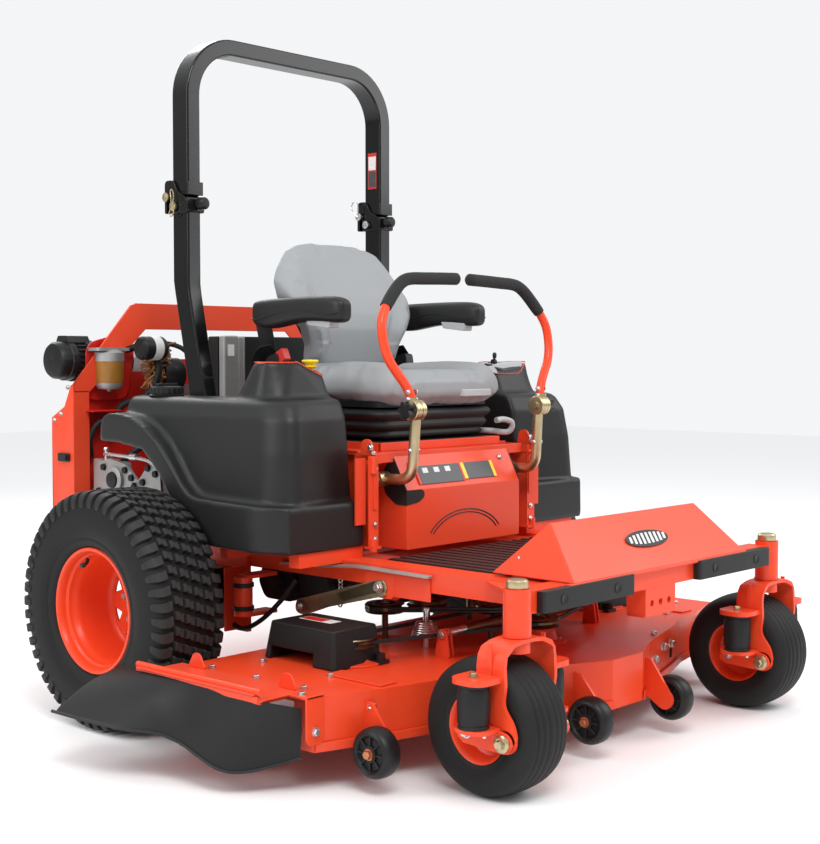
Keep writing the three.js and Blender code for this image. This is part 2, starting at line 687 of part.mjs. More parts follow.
function beltOutline(radius) {
  const hull = [];
  const lean = Math.atan2(SPINDLES[2][2] - SPINDLES[1][2], SPINDLES[2][1]);
  const arcs = [
    [SPINDLES[1], -Math.PI / 2 - lean, -Math.PI / 2 + lean],
    [SPINDLES[2], -Math.PI / 2 + lean, Math.PI / 2],
    [SPINDLES[0], Math.PI / 2, (3 * Math.PI) / 2 - lean],
  ];
  arcs.forEach(([[, x, y], from, to]) => {
    const steps = Math.max(3, Math.round(Math.abs(to - from) / 0.2));
    for (let i = 0; i <= steps; i += 1) {
      const angle = from + ((to - from) * i) / steps;
      hull.push([x + radius * Math.cos(angle), y + radius * Math.sin(angle)]);
    }
  });
  return hull;
}

function spindleCover(side) {
  const outer = block(side * 486, side * 662, -694, -427, DECK.top + GAP, 328);
  const room = block(side * 470, side * 657, -689, -432, DECK.top - 10, 323);
  const beltSlot = block(side * 470, side * 570, -780, -660, DECK.top - 10, 304);
  return cut(outer, room, beltSlot);
}

// The rubber deflector over the discharge mouth, hung from its hinge plate.
function dischargeFlap() {
  const section = [
    [-1010, 244], [-1004, 256], [-1050, 250], [-1120, 220], [-1170, 160], [-1184, 150], [-1176, 142],
    [-1110, 206], [-1040, 236],
  ];
  const flap = prism("y", section, -840, -262);
  const skirt = prism("y", [[-1004, 256], [-1012, 256], [-1020, 70], [-1012, 70]], -852, -840);
  return join(flap, skirt);
}

function liftRockshaft() {
  const shaft = cylinder("x", LIFT.radius, -452, 452, [LIFT.y, LIFT.z]);
  const arms = SIDES.map(([side]) => {
    const section = [[LIFT.y - 24, 392], [LIFT.y - 20, 426], [LIFT.y + 20, 428], [-330, 344], [-330, 312], [-356, 312]];
    return prism("x", section, side * 442, side * 452);
  });
  return join(shaft, ...arms);
}

// ---- small controls -----------------------------------------------------------------------
function ptoKnob() {
  return join(
    cylinder("z", 20, 990, 1010, [-400, -332]),
    cylinder("z", 7, 978, 994, [-400, -332]),
  );
}

function throttleLever() {
  return join(
    cylinder("x", 9, 470, 482, [-275, 1001]),
    prism("x", [[-281, 1001], [-284, 1028], [-275, 1032], [-267, 1030], [-269, 1001]], 472, 480),
  );
}

// ---- assembly -----------------------------------------------------------------------------
place("frame_weldment", frame(), orangePaint());
place("foot_mat", footMat(), rubber());
place("footrest_panel", footrest(), orangePaint());
place("control_tower", controlTower(), orangePaint());
for (const [side, hand] of SIDES) {
  place(`front_bumper_pad_${hand}`, bumperPad(side), rubber());
  place(`caster_yoke_${hand}`, casterYoke(side), orangePaint());
  place(`caster_arm_${hand}`, casterArm(side), orangePaint());
  place(`caster_damper_${hand}`, casterDamper(side), rubber());
  place(`caster_tyre_${hand}`, casterTyre(side), rubber());
  place(`caster_rim_${hand}`, casterRim(side), orangePaint());
  place(`rear_tyre_${hand}`, rearTyre(side), rubber());
  place(`rear_rim_${hand}`, rearRim(side), orangePaint());
  place(`wheel_motor_${hand}`, wheelMotor(side), blackPaint());
  place(`rops_post_${hand}`, ropsPost(side), blackPaint());
  place(`pod_${hand}`, pod(side), blackPlastic());
  place(`fuel_cap_${hand}`, fuelCap(side), blackPlastic());
  place(`steering_lever_${hand}`, steeringLever(side), zinc());
  place(`lever_grip_${hand}`, leverGrip(side), blackPaint());
  place(`armrest_${hand}`, armrest(side), blackPlastic());
  place(`spindle_cover_${hand}`, spindleCover(side), blackPlastic());
}
place("rops_hoop", ropsHoop(), blackPaint());
place("seat_base", seatBase(), blackPlastic());
place("seat_cushion", seatCushion(), greyVinyl());
place("seat_back", seatBack(), greyVinyl());
place("engine", engine(), silver());
place("air_cleaner", airCleaner(), blackPlastic());
place("radiator", radiator(), blackPaint());
place("rear_guard", rearGuard(), orangePaint());
place("deck_shell", deckShell(), orangePaint());
place("discharge_flap", dischargeFlap(), rubber());
place("deck_belt", deckBelt(), rubber());
place("lift_rockshaft", liftRockshaft(), zinc());
for (const [where, x, y] of SPINDLES) {
  place(`blade_${where}`, blade(x, y), blackPaint());
  place(`spindle_pulley_${where}`, spindlePulley(x, y), bronze());
}
for (const [where, x, y] of WHEELS) place(`anti_scalp_${where}`, antiScalpWheel(x, y), blackPlastic());
place("pto_knob", ptoKnob(), surface(0xe8b321, 0.4));
place("throttle_lever", throttleLever(), blackPlastic());

// The origin goes to the bottom centre of the machine's box.
const bounds = new THREE.Box3().setFromObject(group, true);
const centre = bounds.getCenter(new THREE.Vector3());
group.children.forEach((mesh) => mesh.geometry.translate(-centre.x, -centre.y, -bounds.min.z));

export default group;
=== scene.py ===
"""Looks for the zero turn mower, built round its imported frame.

Lengths are millimetres from the machine's own datum: x = 0 on the centreline, y = 0 at the
rear axle and z = 0 on the ground, with the front towards -Y and the driver's right at -X.
"""
import math

import bmesh
import bpy
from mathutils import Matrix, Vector


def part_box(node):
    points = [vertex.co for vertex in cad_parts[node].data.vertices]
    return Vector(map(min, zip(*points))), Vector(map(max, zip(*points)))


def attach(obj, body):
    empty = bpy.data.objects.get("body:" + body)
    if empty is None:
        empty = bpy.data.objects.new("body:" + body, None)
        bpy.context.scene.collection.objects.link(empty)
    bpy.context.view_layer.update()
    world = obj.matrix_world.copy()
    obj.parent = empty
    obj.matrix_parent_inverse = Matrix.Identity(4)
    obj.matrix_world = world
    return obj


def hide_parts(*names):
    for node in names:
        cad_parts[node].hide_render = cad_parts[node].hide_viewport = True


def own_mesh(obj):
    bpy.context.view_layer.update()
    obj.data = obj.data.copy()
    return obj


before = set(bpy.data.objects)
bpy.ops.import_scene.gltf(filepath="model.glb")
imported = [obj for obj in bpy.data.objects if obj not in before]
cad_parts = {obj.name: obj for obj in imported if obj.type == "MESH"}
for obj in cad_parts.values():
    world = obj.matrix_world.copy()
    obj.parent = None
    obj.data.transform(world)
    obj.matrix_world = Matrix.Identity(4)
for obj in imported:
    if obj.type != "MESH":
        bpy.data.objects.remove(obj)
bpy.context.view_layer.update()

MM = 0.001
RIGHT, LEFT = -1, 1
HANDS = ((RIGHT, "right"), (LEFT, "left"))

right_low, right_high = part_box("rear_tyre_right")
left_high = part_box("rear_tyre_left")[1]
ORIGIN = Vector(((right_low.x + left_high.x) / 2, (right_low.y + right_high.y) / 2, 0))

AXLE_Z = 330
REAR_MID = 804.5
CASTER_X, CASTER_Y, CASTER_TRAIL, CASTER_R = 579, -1209, 60, 165
PIVOT_Y, PIVOT_Z = -1254, 156
SPINDLES = (("right", -545, -638), ("middle", 0, -820), ("left", 545, -638))
GAUGE_WHEELS = (("outer_right", -782, -956), ("inner_right", -204, -1150),
                ("inner_left", 146, -1166), ("outer_left", 782, -956))


def at(x, y, z):
    """A machine point as a Blender point."""
    return Vector((ORIGIN.x + x * MM, ORIGIN.y + y * MM, z * MM))


# ---- camera, light and floor ---------------------------------------------------------------
CAMERA_PLACE = (-3140, -3232, 1017)
CAMERA_HEADING, CAMERA_PITCH = math.radians(-47.37), math.radians(2.61)
CAMERA_LENS, SENSOR_WIDTH, FARTHEST_SEEN = 60.93, 36, 60
PAPER_REACH = 14
# name, place from the machine's middle, width and height in metres, and power
LAMPS = (("key", (-2.6, -3.4, 4.2), (2.6, 2.0), 165), ("fill", (3.8, -3.0, 2.6), (2.8, 2.8), 80),
         ("side", (-4.6, 1.2, 2.2), (1.8, 2.4), 70), ("back", (1.2, 4.4, 3.4), (3.0, 1.6), 80))


def set_inputs(node, **values):
    for name, value in values.items():
        node.inputs[name.replace("_", " ")].default_value = value


def add_node(owner, kind, **values):
    """A new shader node with its inputs set; an underscore stands for a space."""
    node = owner.node_tree.nodes.new("ShaderNode" + kind)
    set_inputs(node, **values)
    return node


def make_camera():
    data = bpy.data.cameras.new("camera")
    data.lens, data.sensor_width, data.clip_end = CAMERA_LENS, SENSOR_WIDTH, FARTHEST_SEEN
    camera = bpy.data.objects.new("camera", data)
    bpy.context.collection.objects.link(camera)
    camera.location = at(*CAMERA_PLACE)
    camera.rotation_euler = (math.pi / 2 - CAMERA_PITCH, 0, CAMERA_HEADING)
    bpy.context.scene.camera = camera


def area_light(name, place, aim, size, power):
    data = bpy.data.lights.new(name, "AREA")
    data.shape, data.size, data.size_y = "RECTANGLE", size[0], size[1]
    data.energy = power
    light = bpy.data.objects.new(name, data)
    bpy.context.collection.objects.link(light)
    light.location = place
    light.rotation_euler = (aim - place).to_track_quat("-Z", "Y").to_euler()


def make_sky():
    """A softbox that is bright above and dim below, seen by the camera as plain light paper."""
    world = bpy.data.worlds.new("studio")
    bpy.context.scene.world = world
    world.use_nodes = True
    links = world.node_tree.links
    background = world.node_tree.nodes["Background"]
    background.inputs["Color"].default_value = (0.97, 0.985, 1, 1)
    coord = add_node(world, "TexCoord")
    height = add_node(world, "SeparateXYZ")
    softbox = add_node(world, "MapRange", From_Min=0.05, From_Max=0.85, To_Min=0.32, To_Max=1.15)
    ray = add_node(world, "LightPath")
    shown = add_node(world, "Mix", B=0.93)
    links.new(coord.outputs["Generated"], height.inputs["Vector"])
    links.new(height.outputs["Z"], softbox.inputs["Value"])
    links.new(ray.outputs["Is Camera Ray"], shown.inputs["Factor"])
    links.new(softbox.outputs["Result"], shown.inputs["A"])
    links.new(shown.outputs["Result"], background.inputs["Strength"])


def make_floor():
    mesh = bpy.data.meshes.new("floor")
    corners = [(x * PAPER_REACH, y * PAPER_REACH, 0) for x, y in ((-1, -1), (1, -1), (1, 1), (-1, 1))]
    mesh.from_pydata(corners, [], [(0, 1, 2, 3)])
    floor = bpy.data.objects.new("floor", mesh)
    bpy.context.collection.objects.link(floor)
    material = bpy.data.materials.new("floor_paper")
    material.use_nodes = True
    set_inputs(material.node_tree.nodes["Principled BSDF"], Base_Color=(0.93, 0.93, 0.93, 1),
               Roughness=0.9, Specular_IOR_Level=0.1)
    mesh.materials.append(material)


def make_studio():
    bpy.context.scene.view_settings.view_transform = "Standard"
    make_sky()
    middle = at(0, -300, 700)
    for name, offset, size, power in LAMPS:
        area_light(name, middle + Vector(offset), middle, size, power)
    make_floor()


# ---- materials -----------------------------------------------------------------------------
def tint(colour, factor):
    return tuple(min(1.0, c * factor) for c in colour) + (1,)


def colour_mix(material, low, high):
    """A mix node between two colours."""
    mix = material.node_tree.nodes.new("ShaderNodeMix")
    mix.data_type = "RGBA"
    if low:
        mix.inputs["A"].default_value = low
    mix.inputs["B"].default_value = high
    return mix


def finish(name, slot, colour, roughness, metal=0.0, coat=0.0, mottle=0.1, patches=7.0,
           grain=900.0, relief=0.12, depth=0.0003, spread=0.08, wear=0.0, cells=False, specular=0.5):
    """A procedural surface: slow colour mottling, a fine grain in the relief and worn edges."""
    material = bpy.data.materials.new(name)
    material.use_nodes = True
    links = material.node_tree.links
    shader = material.node_tree.nodes["Principled BSDF"]
    set_inputs(shader, Metallic=metal, Coat_Weight=coat, Coat_Roughness=0.12, Specular_IOR_Level=specular)
    coord = add_node(material, "TexCoord")
    slow = add_node(material, "TexNoise", Scale=patches, Detail=5)
    links.new(coord.outputs["Object"], slow.inputs["Vector"])
    blend = colour_mix(material, tint(colour, 1 - mottle), tint(colour, 1 + mottle))
    links.new(slow.outputs["Fac"], blend.inputs["Factor"])
    colour_out = blend.outputs["Result"]
    if wear:
        geometry = add_node(material, "NewGeometry")
        edge = add_node(material, "MapRange", From_Min=0.52, From_Max=0.62, To_Max=wear)
        links.new(geometry.outputs["Pointiness"], edge.inputs["Value"])
        worn = colour_mix(material, None, tint(tuple(c * 0.6 + 0.12 for c in colour), 1.15))
        links.new(edge.outputs["Result"], worn.inputs["Factor"])
        links.new(colour_out, worn.inputs["A"])
        colour_out = worn.outputs["Result"]
    links.new(colour_out, shader.inputs["Base Color"])
    rough = add_node(material, "MapRange", To_Min=max(0.02, roughness - spread),
                     To_Max=min(1.0, roughness + spread))
    links.new(slow.outputs["Fac"], rough.inputs["Value"])
    links.new(rough.outputs["Result"], shader.inputs["Roughness"])
    fine = add_node(material, "TexVoronoi" if cells else "TexNoise", Scale=grain)
    if not cells:
        set_inputs(fine, Detail=3)
    links.new(coord.outputs["Object"], fine.inputs["Vector"])
    bump = add_node(material, "Bump", Strength=relief, Distance=depth)
    links.new(fine.outputs["Distance" if cells else "Fac"], bump.inputs["Height"])
    links.new(bump.outputs["Normal"], shader.inputs["Normal"])
    material["slot"] = slot
    return material


ORANGE = (0.80, 0.062, 0.017)
paint = finish("orange_powder_coat", "orange_paint", ORANGE, 0.36, coat=0.12, mottle=0.05, grain=260,
               relief=0.05, wear=0.12, specular=0.25)
# painted shade: a darker red copy of the orange paint, in the same slot, for sheet that lies in shadow behind
# the seat
shaded_orange = finish("orange_paint_painted_shade", "orange_paint", (0.55, 0.012, 0.006), 0.4, coat=0.2, mottle=0.08,
                   grain=260, relief=0.05)
gloss_black = finish("black_powder_coat", "black_paint", (0.004, 0.0041, 0.0043), 0.2, coat=0.3, mottle=0.15,
                     grain=420, relief=0.04, wear=0.06, specular=0.25)
plastic = finish("black_moulding", "black_plastic", (0.012, 0.0122, 0.0125), 0.42, mottle=0.12, grain=1500,
                 relief=0.3, depth=0.0004, spread=0.05, wear=0.12, specular=0.36)
panel_black = finish("black_panel", "black_plastic", (0.008, 0.008, 0.0085), 0.42, mottle=0.12, grain=900,
                     relief=0.2, wear=0.1, specular=0.3)
rubber = finish("black_rubber", "rubber", (0.01, 0.01, 0.0105), 0.5, mottle=0.2, patches=12, grain=700,
                relief=0.3, depth=0.0005, wear=0.15, specular=0.3)
tyre_rubber = finish("tyre_rubber", "tyre", (0.0095, 0.0093, 0.009), 0.6, mottle=0.25, patches=9, grain=500,
                     relief=0.35, depth=0.0005, wear=0.22, specular=0.22)
mat_rubber = finish("worn_mat_rubber", "rubber", (0.035, 0.009, 0.007), 0.5, mottle=0.35, patches=14,
                    grain=500, relief=0.3, wear=0.2, specular=0.3)
foam = finish("foam_grip", "rubber", (0.012, 0.012, 0.0125), 0.8, mottle=0.15, grain=1100, relief=0.6,
              depth=0.0006, cells=True)
vinyl = finish("grey_vinyl", "vinyl", (0.30, 0.31, 0.32), 0.5, mottle=0.05, patches=4, grain=700,
               relief=0.3, depth=0.0005, cells=True, spread=0.05)
grey_plastic = finish("grey_plastic", "vinyl", (0.42, 0.43, 0.44), 0.4, mottle=0.06, grain=900, relief=0.15)
gold_zinc = finish("yellow_zinc", "zinc", (0.52, 0.43, 0.26), 0.34, metal=0.95, mottle=0.3, patches=22,
                   grain=500, relief=0.1)
silver = finish("bright_zinc", "zinc", (0.66, 0.66, 0.66), 0.28, metal=0.95, mottle=0.12, patches=30,
                grain=600, relief=0.1)
raw_steel = finish("grey_steel", "zinc", (0.45, 0.43, 0.39), 0.45, metal=0.7, mottle=0.2, patches=18,
                   grain=500, relief=0.15)
bronze = finish("bronze_pulley", "bronze_plate", (0.16, 0.105, 0.06), 0.35, metal=0.9, mottle=0.3,
                patches=20, grain=500, relief=0.15)
alloy = finish("cast_alloy", "engine_alloy", (0.38, 0.38, 0.37), 0.55, metal=0.7, mottle=0.2, patches=14,
               grain=350, relief=0.5, depth=0.0008)
copper = finish("copper_bolt", "bronze_plate", (0.62, 0.25, 0.12), 0.35, metal=0.9, mottle=0.2, patches=30)
yellow = finish("yellow_plastic", "yellow_plastic", (0.9, 0.62, 0.01), 0.35, mottle=0.05, grain=700,
                relief=0.1)
amber = finish("amber_filter", "yellow_plastic", (0.30, 0.13, 0.02), 0.35, mottle=0.2, patches=25, grain=600)
loom = finish("copper_loom", "yellow_plastic", (0.34, 0.15, 0.05), 0.5, mottle=0.6, patches=40, grain=300,
              relief=0.5, depth=0.001)
label_white = finish("white_label", "engine_alloy", (0.72, 0.72, 0.70), 0.45, mottle=0.05)
label_red = finish("red_label", "orange_paint", (0.6, 0.02, 0.012), 0.4, mottle=0.05)
label_grey = finish("grey_label", "black_plastic", (0.055, 0.06, 0.065), 0.4, mottle=0.4, patches=120)


# ---- shapes --------------------------------------------------------------------------------
def arc(cx, cy, radius, start, end, steps):
    """Points on an arc, in degrees, both ends included."""
    turns = [math.radians(start + (end - start) * i / steps) for i in range(steps + 1)]
    return [(cx + radius * math.cos(t), cy + radius * math.sin(t)) for t in turns]


def bent(enter, corner, leave, steps):
    """Points on a curve that cuts a corner."""
    turns = [k / steps for k in range(steps + 1)]
    return [enter * (1 - t) ** 2 + corner * (2 * t * (1 - t)) + leave * t * t for t in turns]


def rounded(points, radius, steps=5):
    """The closed outline with every corner rounded; a radius may also be given per corner."""
    out = []
    count = len(points)
    for i, point in enumerate(points):
        here, before, after = Vector(point), Vector(points[i - 1]), Vector(points[(i + 1) % count])
        r = radius[i] if isinstance(radius, (list, tuple)) else radius
        a, b = before - here, after - here
        reach = min(r, a.length * 0.49, b.length * 0.49)
        if reach < 0.5:
            out.append(tuple(here))
            continue
        enter, leave = here + a.normalized() * reach, here + b.normalized() * reach
        out += [tuple(p) for p in bent(enter, here, leave, steps)]
    return out


def rounded_path(points, bend, steps=8):
    """An open path with its inner corners rounded."""
    knots = [Vector(p) for p in points]
    out = [knots[0]]
    for before, here, after in zip(knots, knots[1:], knots[2:]):
        a, b = before - here, after - here
        reach = min(bend, a.length * 0.49, b.length * 0.49)
        enter, leave = here + a.normalized() * reach, here + b.normalized() * reach
        out += bent(enter, here, leave, steps)
    return out + [knots[-1]]


def smooth_path(points, steps=6):
    """A Catmull-Rom curve through the points."""
    knots = [Vector(p) for p in points]
    knots = [knots[0] * 2 - knots[1]] + knots + [knots[-1] * 2 - knots[-2]]
    out = []
    for a, b, c, d in zip(knots, knots[1:], knots[2:], knots[3:]):
        for k in range(steps):
            t = k / steps
            out.append(0.5 * (2 * b + (c - a) * t + (2 * a - 5 * b + 4 * c - d) * t ** 2
                              + (3 * b - a - 3 * c + d) * t ** 3))
    return out + [knots[-2]]


AXES = {"x": lambda u, v, w: (w, u, v), "y": lambda u, v, w: (u, w, v), "z": lambda u, v, w: (u, v, w)}
TURN = {"x": lambda a, r, w: (w, r * math.cos(a), r * math.sin(a)),
        "y": lambda a, r, w: (r * math.cos(a), w, r * math.sin(a)),
        "z": lambda a, r, w: (r * math.cos(a), r * math.sin(a), w)}


class Shape:
    """Collects closed shells in machine millimetres; build() makes one Blender piece of them."""

    def __init__(self):
        self.verts = []
        self.faces = []

    def shell(self, verts, faces):
        base = len(self.verts)
        self.verts += [tuple(v) for v in verts]
        self.faces += [tuple(base + i for i in face) for face in faces]
        return self

    def box(self, x0, x1, y0, y1, z0, z1):
        verts = [(x, y, z) for x in (x0, x1) for y in (y0, y1) for z in (z0, z1)]
        return self.shell(verts, [(0, 1, 3, 2), (4, 6, 7, 5), (0, 4, 5, 1), (2, 3, 7, 6), (0, 2, 6, 4),
                                  (1, 5, 7, 3)])

    def prism(self, axis, points, start, end):
        place = AXES[axis]
        count = len(points)
        verts = [place(u, v, w) for w in (start, end) for u, v in points]
        sides = [(i, (i + 1) % count, count + (i + 1) % count, count + i) for i in range(count)]
        return self.shell(verts, [tuple(range(count)), tuple(range(count, 2 * count))] + sides)

    def loft(self, rings, closed=False, caps=True):
        """Rings with the same number of points, joined in order."""
        count, rows = len(rings[0]), len(rings)
        verts = [p for row in rings for p in row]
        faces = []
        for j in range(rows if closed else rows - 1):
            low, high = j * count, ((j + 1) % rows) * count
            faces += [(low + i, low + (i + 1) % count, high + (i + 1) % count, high + i)
                      for i in range(count)]
        if caps and not closed:
            faces += [tuple(range(count)), tuple(range((rows - 1) * count, rows * count))]
        return self.shell(verts, faces)

    def lathe(self, axis, profile, centre, segments=40):
        """A closed profile of (radius, distance along the axis) turned about the axis."""
        place = TURN[axis]
        rings = []
        for k in range(segments):
            angle = 2 * math.pi * k / segments
            ring = [place(angle, max(r, 0.02), w) for r, w in profile]
            rings.append([(centre[0] + x, centre[1] + y, centre[2] + z) for x, y, z in ring])
        return self.loft(rings, closed=True)

    def disc(self, axis, radius, start, end, centre, segments=28):
        """A plain round bar, from start to end along the axis from the centre."""
        return self.lathe(axis, [(0, start), (radius, start), (radius, end), (0, end)], centre, segments)

    def tube(self, path, radius, sides=14, flat=None):
        """A round bar along a path; flat gives (width, thickness) for a flat bar."""
        path = [Vector(p) for p in path]
        rings = []
        normal = None
        for i, point in enumerate(path):
            ahead = (path[min(i + 1, len(path) - 1)] - path[max(i - 1, 0)]).normalized()
            if normal is None:
                normal = ahead.orthogonal() if abs(ahead.z) > 0.9 else ahead.cross(Vector((0, 0, 1)))
            normal = (normal - ahead * normal.dot(ahead)).normalized()
            across = ahead.cross(normal)
            if flat:
                w, t = flat[0] / 2, flat[1] / 2
                corners = ((w, t), (-w, t), (-w, -t), (w, -t))
                rings.append([point + normal * b + across * a for a, b in corners])
            else:
                r = radius[i] if isinstance(radius, (list, tuple)) else radius
                rings.append([point + (normal * math.cos(t) + across * math.sin(t)) * r
                              for t in (2 * math.pi * k / sides for k in range(sides))])
        return self.loft(rings)

    def bolt(self, centre, axis, size=9, out=1):
        """A hexagon head on its washer, standing out along the axis from the centre."""
        self.lathe(axis, [(0, 0), (size * 1.25, 0), (size * 1.25, out * 2), (0, out * 2)], centre, 20)
        place = TURN[axis]
        rings = []
        for w, scale in ((0, 1), (size * 0.75, 1), (size * 0.95, 0.82)):
            ring = [place(math.pi * k / 3, size * scale, out * (w + 1)) for k in range(6)]
            rings.append([(centre[0] + x, centre[1] + y, centre[2] + z) for x, y, z in ring])
        return self.loft(rings)

    def mirrored(self):
        """Adds the same shells on the other side of the centreline."""
        verts, faces = list(self.verts), list(self.faces)
        return self.shell([(-x, y, z) for x, y, z in verts], faces)

    def build(self, name, material, body, bevel=1.5, rings=2, angle=38, subdivide=0, stands_for=(),
              merge=0.02):
        mesh = bpy.data.meshes.new(name)
        mesh.from_pydata([at(*v) for v in self.verts], [], self.faces)
        clean(mesh, merge * MM)
        return dress(mesh, name, material, body, bevel, rings, angle, subdivide, stands_for)


def clean(mesh, merge):
    """Welds points closer than merge metres and turns every face outwards."""
    work = bmesh.new()
    work.from_mesh(mesh)
    bmesh.ops.remove_doubles(work, verts=work.verts, dist=merge)
    bmesh.ops.recalc_face_normals(work, faces=work.faces)
    work.to_mesh(mesh)
    work.free()


def dress(mesh, name, material, body, bevel=0, rings=2, angle=38, subdivide=0, stands_for=()):
    """A finished piece from a mesh: its finish, edges, body, slot and the CAD nodes it stands for."""
    mesh.polygons.foreach_set("use_smooth", [True] * len(mesh.polygons))
    mesh.set_sharp_from_angle(angle=math.radians(angle))
    mesh.materials.clear()
    mesh.materials.append(material)
    piece = bpy.data.objects.new(name, mesh)
    bpy.context.collection.objects.link(piece)
    if bevel:
        add_bevel(piece, bevel, rings, angle)
    if subdivide:
        levels = piece.modifiers.new("round", "SUBSURF")
        levels.levels = levels.render_levels = subdivide
    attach(piece, body)
    if stands_for:
        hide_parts(*stands_for)
    return piece


def add_bevel(piece, width, rings=2, angle=38):
    modifier = piece.modifiers.new("edges", "BEVEL")
    modifier.width, modifier.segments = width * MM, rings
    modifier.limit_method, modifier.angle_limit = "ANGLE", math.radians(angle)
    modifier.harden_normals = True


def keep_node(name, material, bevel=1.5):
    """A CAD node that stays: it gets a finish, welded corners and soft edges."""
    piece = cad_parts[name]
    for index in range(max(1, len(piece.data.materials))):
        if len(piece.material_slots) <= index:
            piece.data.materials.append(material)
        piece.material_slots[index].material = material
    weld = piece.modifiers.new("weld", "WELD")
    weld.merge_threshold = 0.00002
    if bevel:
        add_bevel(piece, bevel)
    return piece


def temporary(shape):
    """A shape as a working object, to be combined or moulded and then removed."""
    mesh = bpy.data.meshes.new("part")
    mesh.from_pydata([at(*v) for v in shape.verts], [], shape.faces)
    clean(mesh, 0.00001)
    piece = bpy.data.objects.new("part", mesh)
    bpy.context.collection.objects.link(piece)
    return piece


def applied(piece):
    """The piece's mesh with all its modifiers applied."""
    bpy.context.view_layer.update()
    graph = bpy.context.evaluated_depsgraph_get()
    return bpy.data.meshes.new_from_object(piece.evaluated_get(graph))


def combined(first, others, operation):
    """The first object cut by or joined with the others, which are removed."""
    for other in others:
        modifier = first.modifiers.new("combine", "BOOLEAN")
        modifier.operation, modifier.object, modifier.solver = operation, other, "EXACT"
    mesh = applied(first)
    first.modifiers.clear()
    first.data = mesh
    for other in others:
        bpy.data.objects.remove(other)
    return first


def moulded(piece, voxel, rounds, factor=0.5):
    """Melts a joined solid into one soft-edged moulding and returns its mesh."""
    melt = piece.modifiers.new("melt", "REMESH")
    melt.mode, melt.voxel_size = "VOXEL", voxel * MM
    soften = piece.modifiers.new("soften", "SMOOTH")
    soften.factor, soften.iterations = factor, rounds
    mesh = applied(piece)
    bpy.data.objects.remove(piece)
    return mesh


# ---- rear wheels ---------------------------------------------------------------------------
TREAD_BASE, TREAD_TOP = 315, 327.4
TREAD_PITCHES = 50


def rear_tyre(side, hand):
    shape = Shape()
    half = [(172, 88), (178, 99), (192, 105), (199, 104), (203, 107), (232, 110), (264, 109), (292, 105),
            (306, 99), (312, 88), (314.5, 60)]
    mid = side * REAR_MID
    outer = [(r, mid + side * u) for r, u in half]
    inner = [(r, mid - side * u) for r, u in reversed(half)]
    profile = [(166, mid + side * 84)] + outer + inner + [(166, mid - side * 84)]
    shape.lathe("x", profile, (0, 0, AXLE_Z), 120)
    pitch = 2 * math.pi / TREAD_PITCHES

    def on_tread(v, u, radius):
        angle = v / TREAD_TOP
        return (mid + side * u, radius * math.sin(angle), AXLE_Z + radius * math.cos(angle))

    block = [(-13.2, 8.5), (-4, 8.5), (4, 16), (13.2, 16), (13.2, -8.5), (4, -8.5), (-4, -16), (-13.2, -16)]
    for row, centre in enumerate((-50, -16.6, 16.6, 50)):
        crown = TREAD_TOP - 0.00035 * centre * centre
        for k in range(TREAD_PITCHES):
            start = (k + 0.32 * row) * pitch * TREAD_TOP
            low = [on_tread(start + v, centre + u, TREAD_BASE - 4) for u, v in block]
            high = [on_tread(start + v * 0.9, centre + u * 0.9, crown) for u, v in block]
            shape.loft([low, high])
    shoulder = [(71, 326.2, 312, 12.5, 5), (84, 325.2, 309, 12.5, 1), (98, 321.5, 304, 12.4, 0),
                (106.5, 313, 299, 12, 1), (109.6, 302, 292, 11.4, 3), (110.6, 291, 284, 10, 4),
                (109.4, 280, 279, 7, 5)]
    for k in range(TREAD_PITCHES):
        for flip in (1, -1):
            start = (k + (0.62 if flip > 0 else 0.0)) * pitch * TREAD_TOP
            rings = []
            for u, top, base, wide, slip in shoulder:
                inward = flip * (u - 7 if u > 90 else u)
                rings.append([on_tread(start + wide + slip, flip * u, top),
                              on_tread(start - wide + slip, flip * u, top),
                              on_tread(start - wide * 1.06 + slip, inward, base),
                              on_tread(start + wide * 1.06 + slip, inward, base)])
            shape.loft(rings)
    shape.build(f"rear_tyre_tread_{hand}", tyre_rubber, f"rear_wheel_{hand}", bevel=1.3, rings=1, angle=42,
                stands_for=[f"rear_tyre_{hand}"])


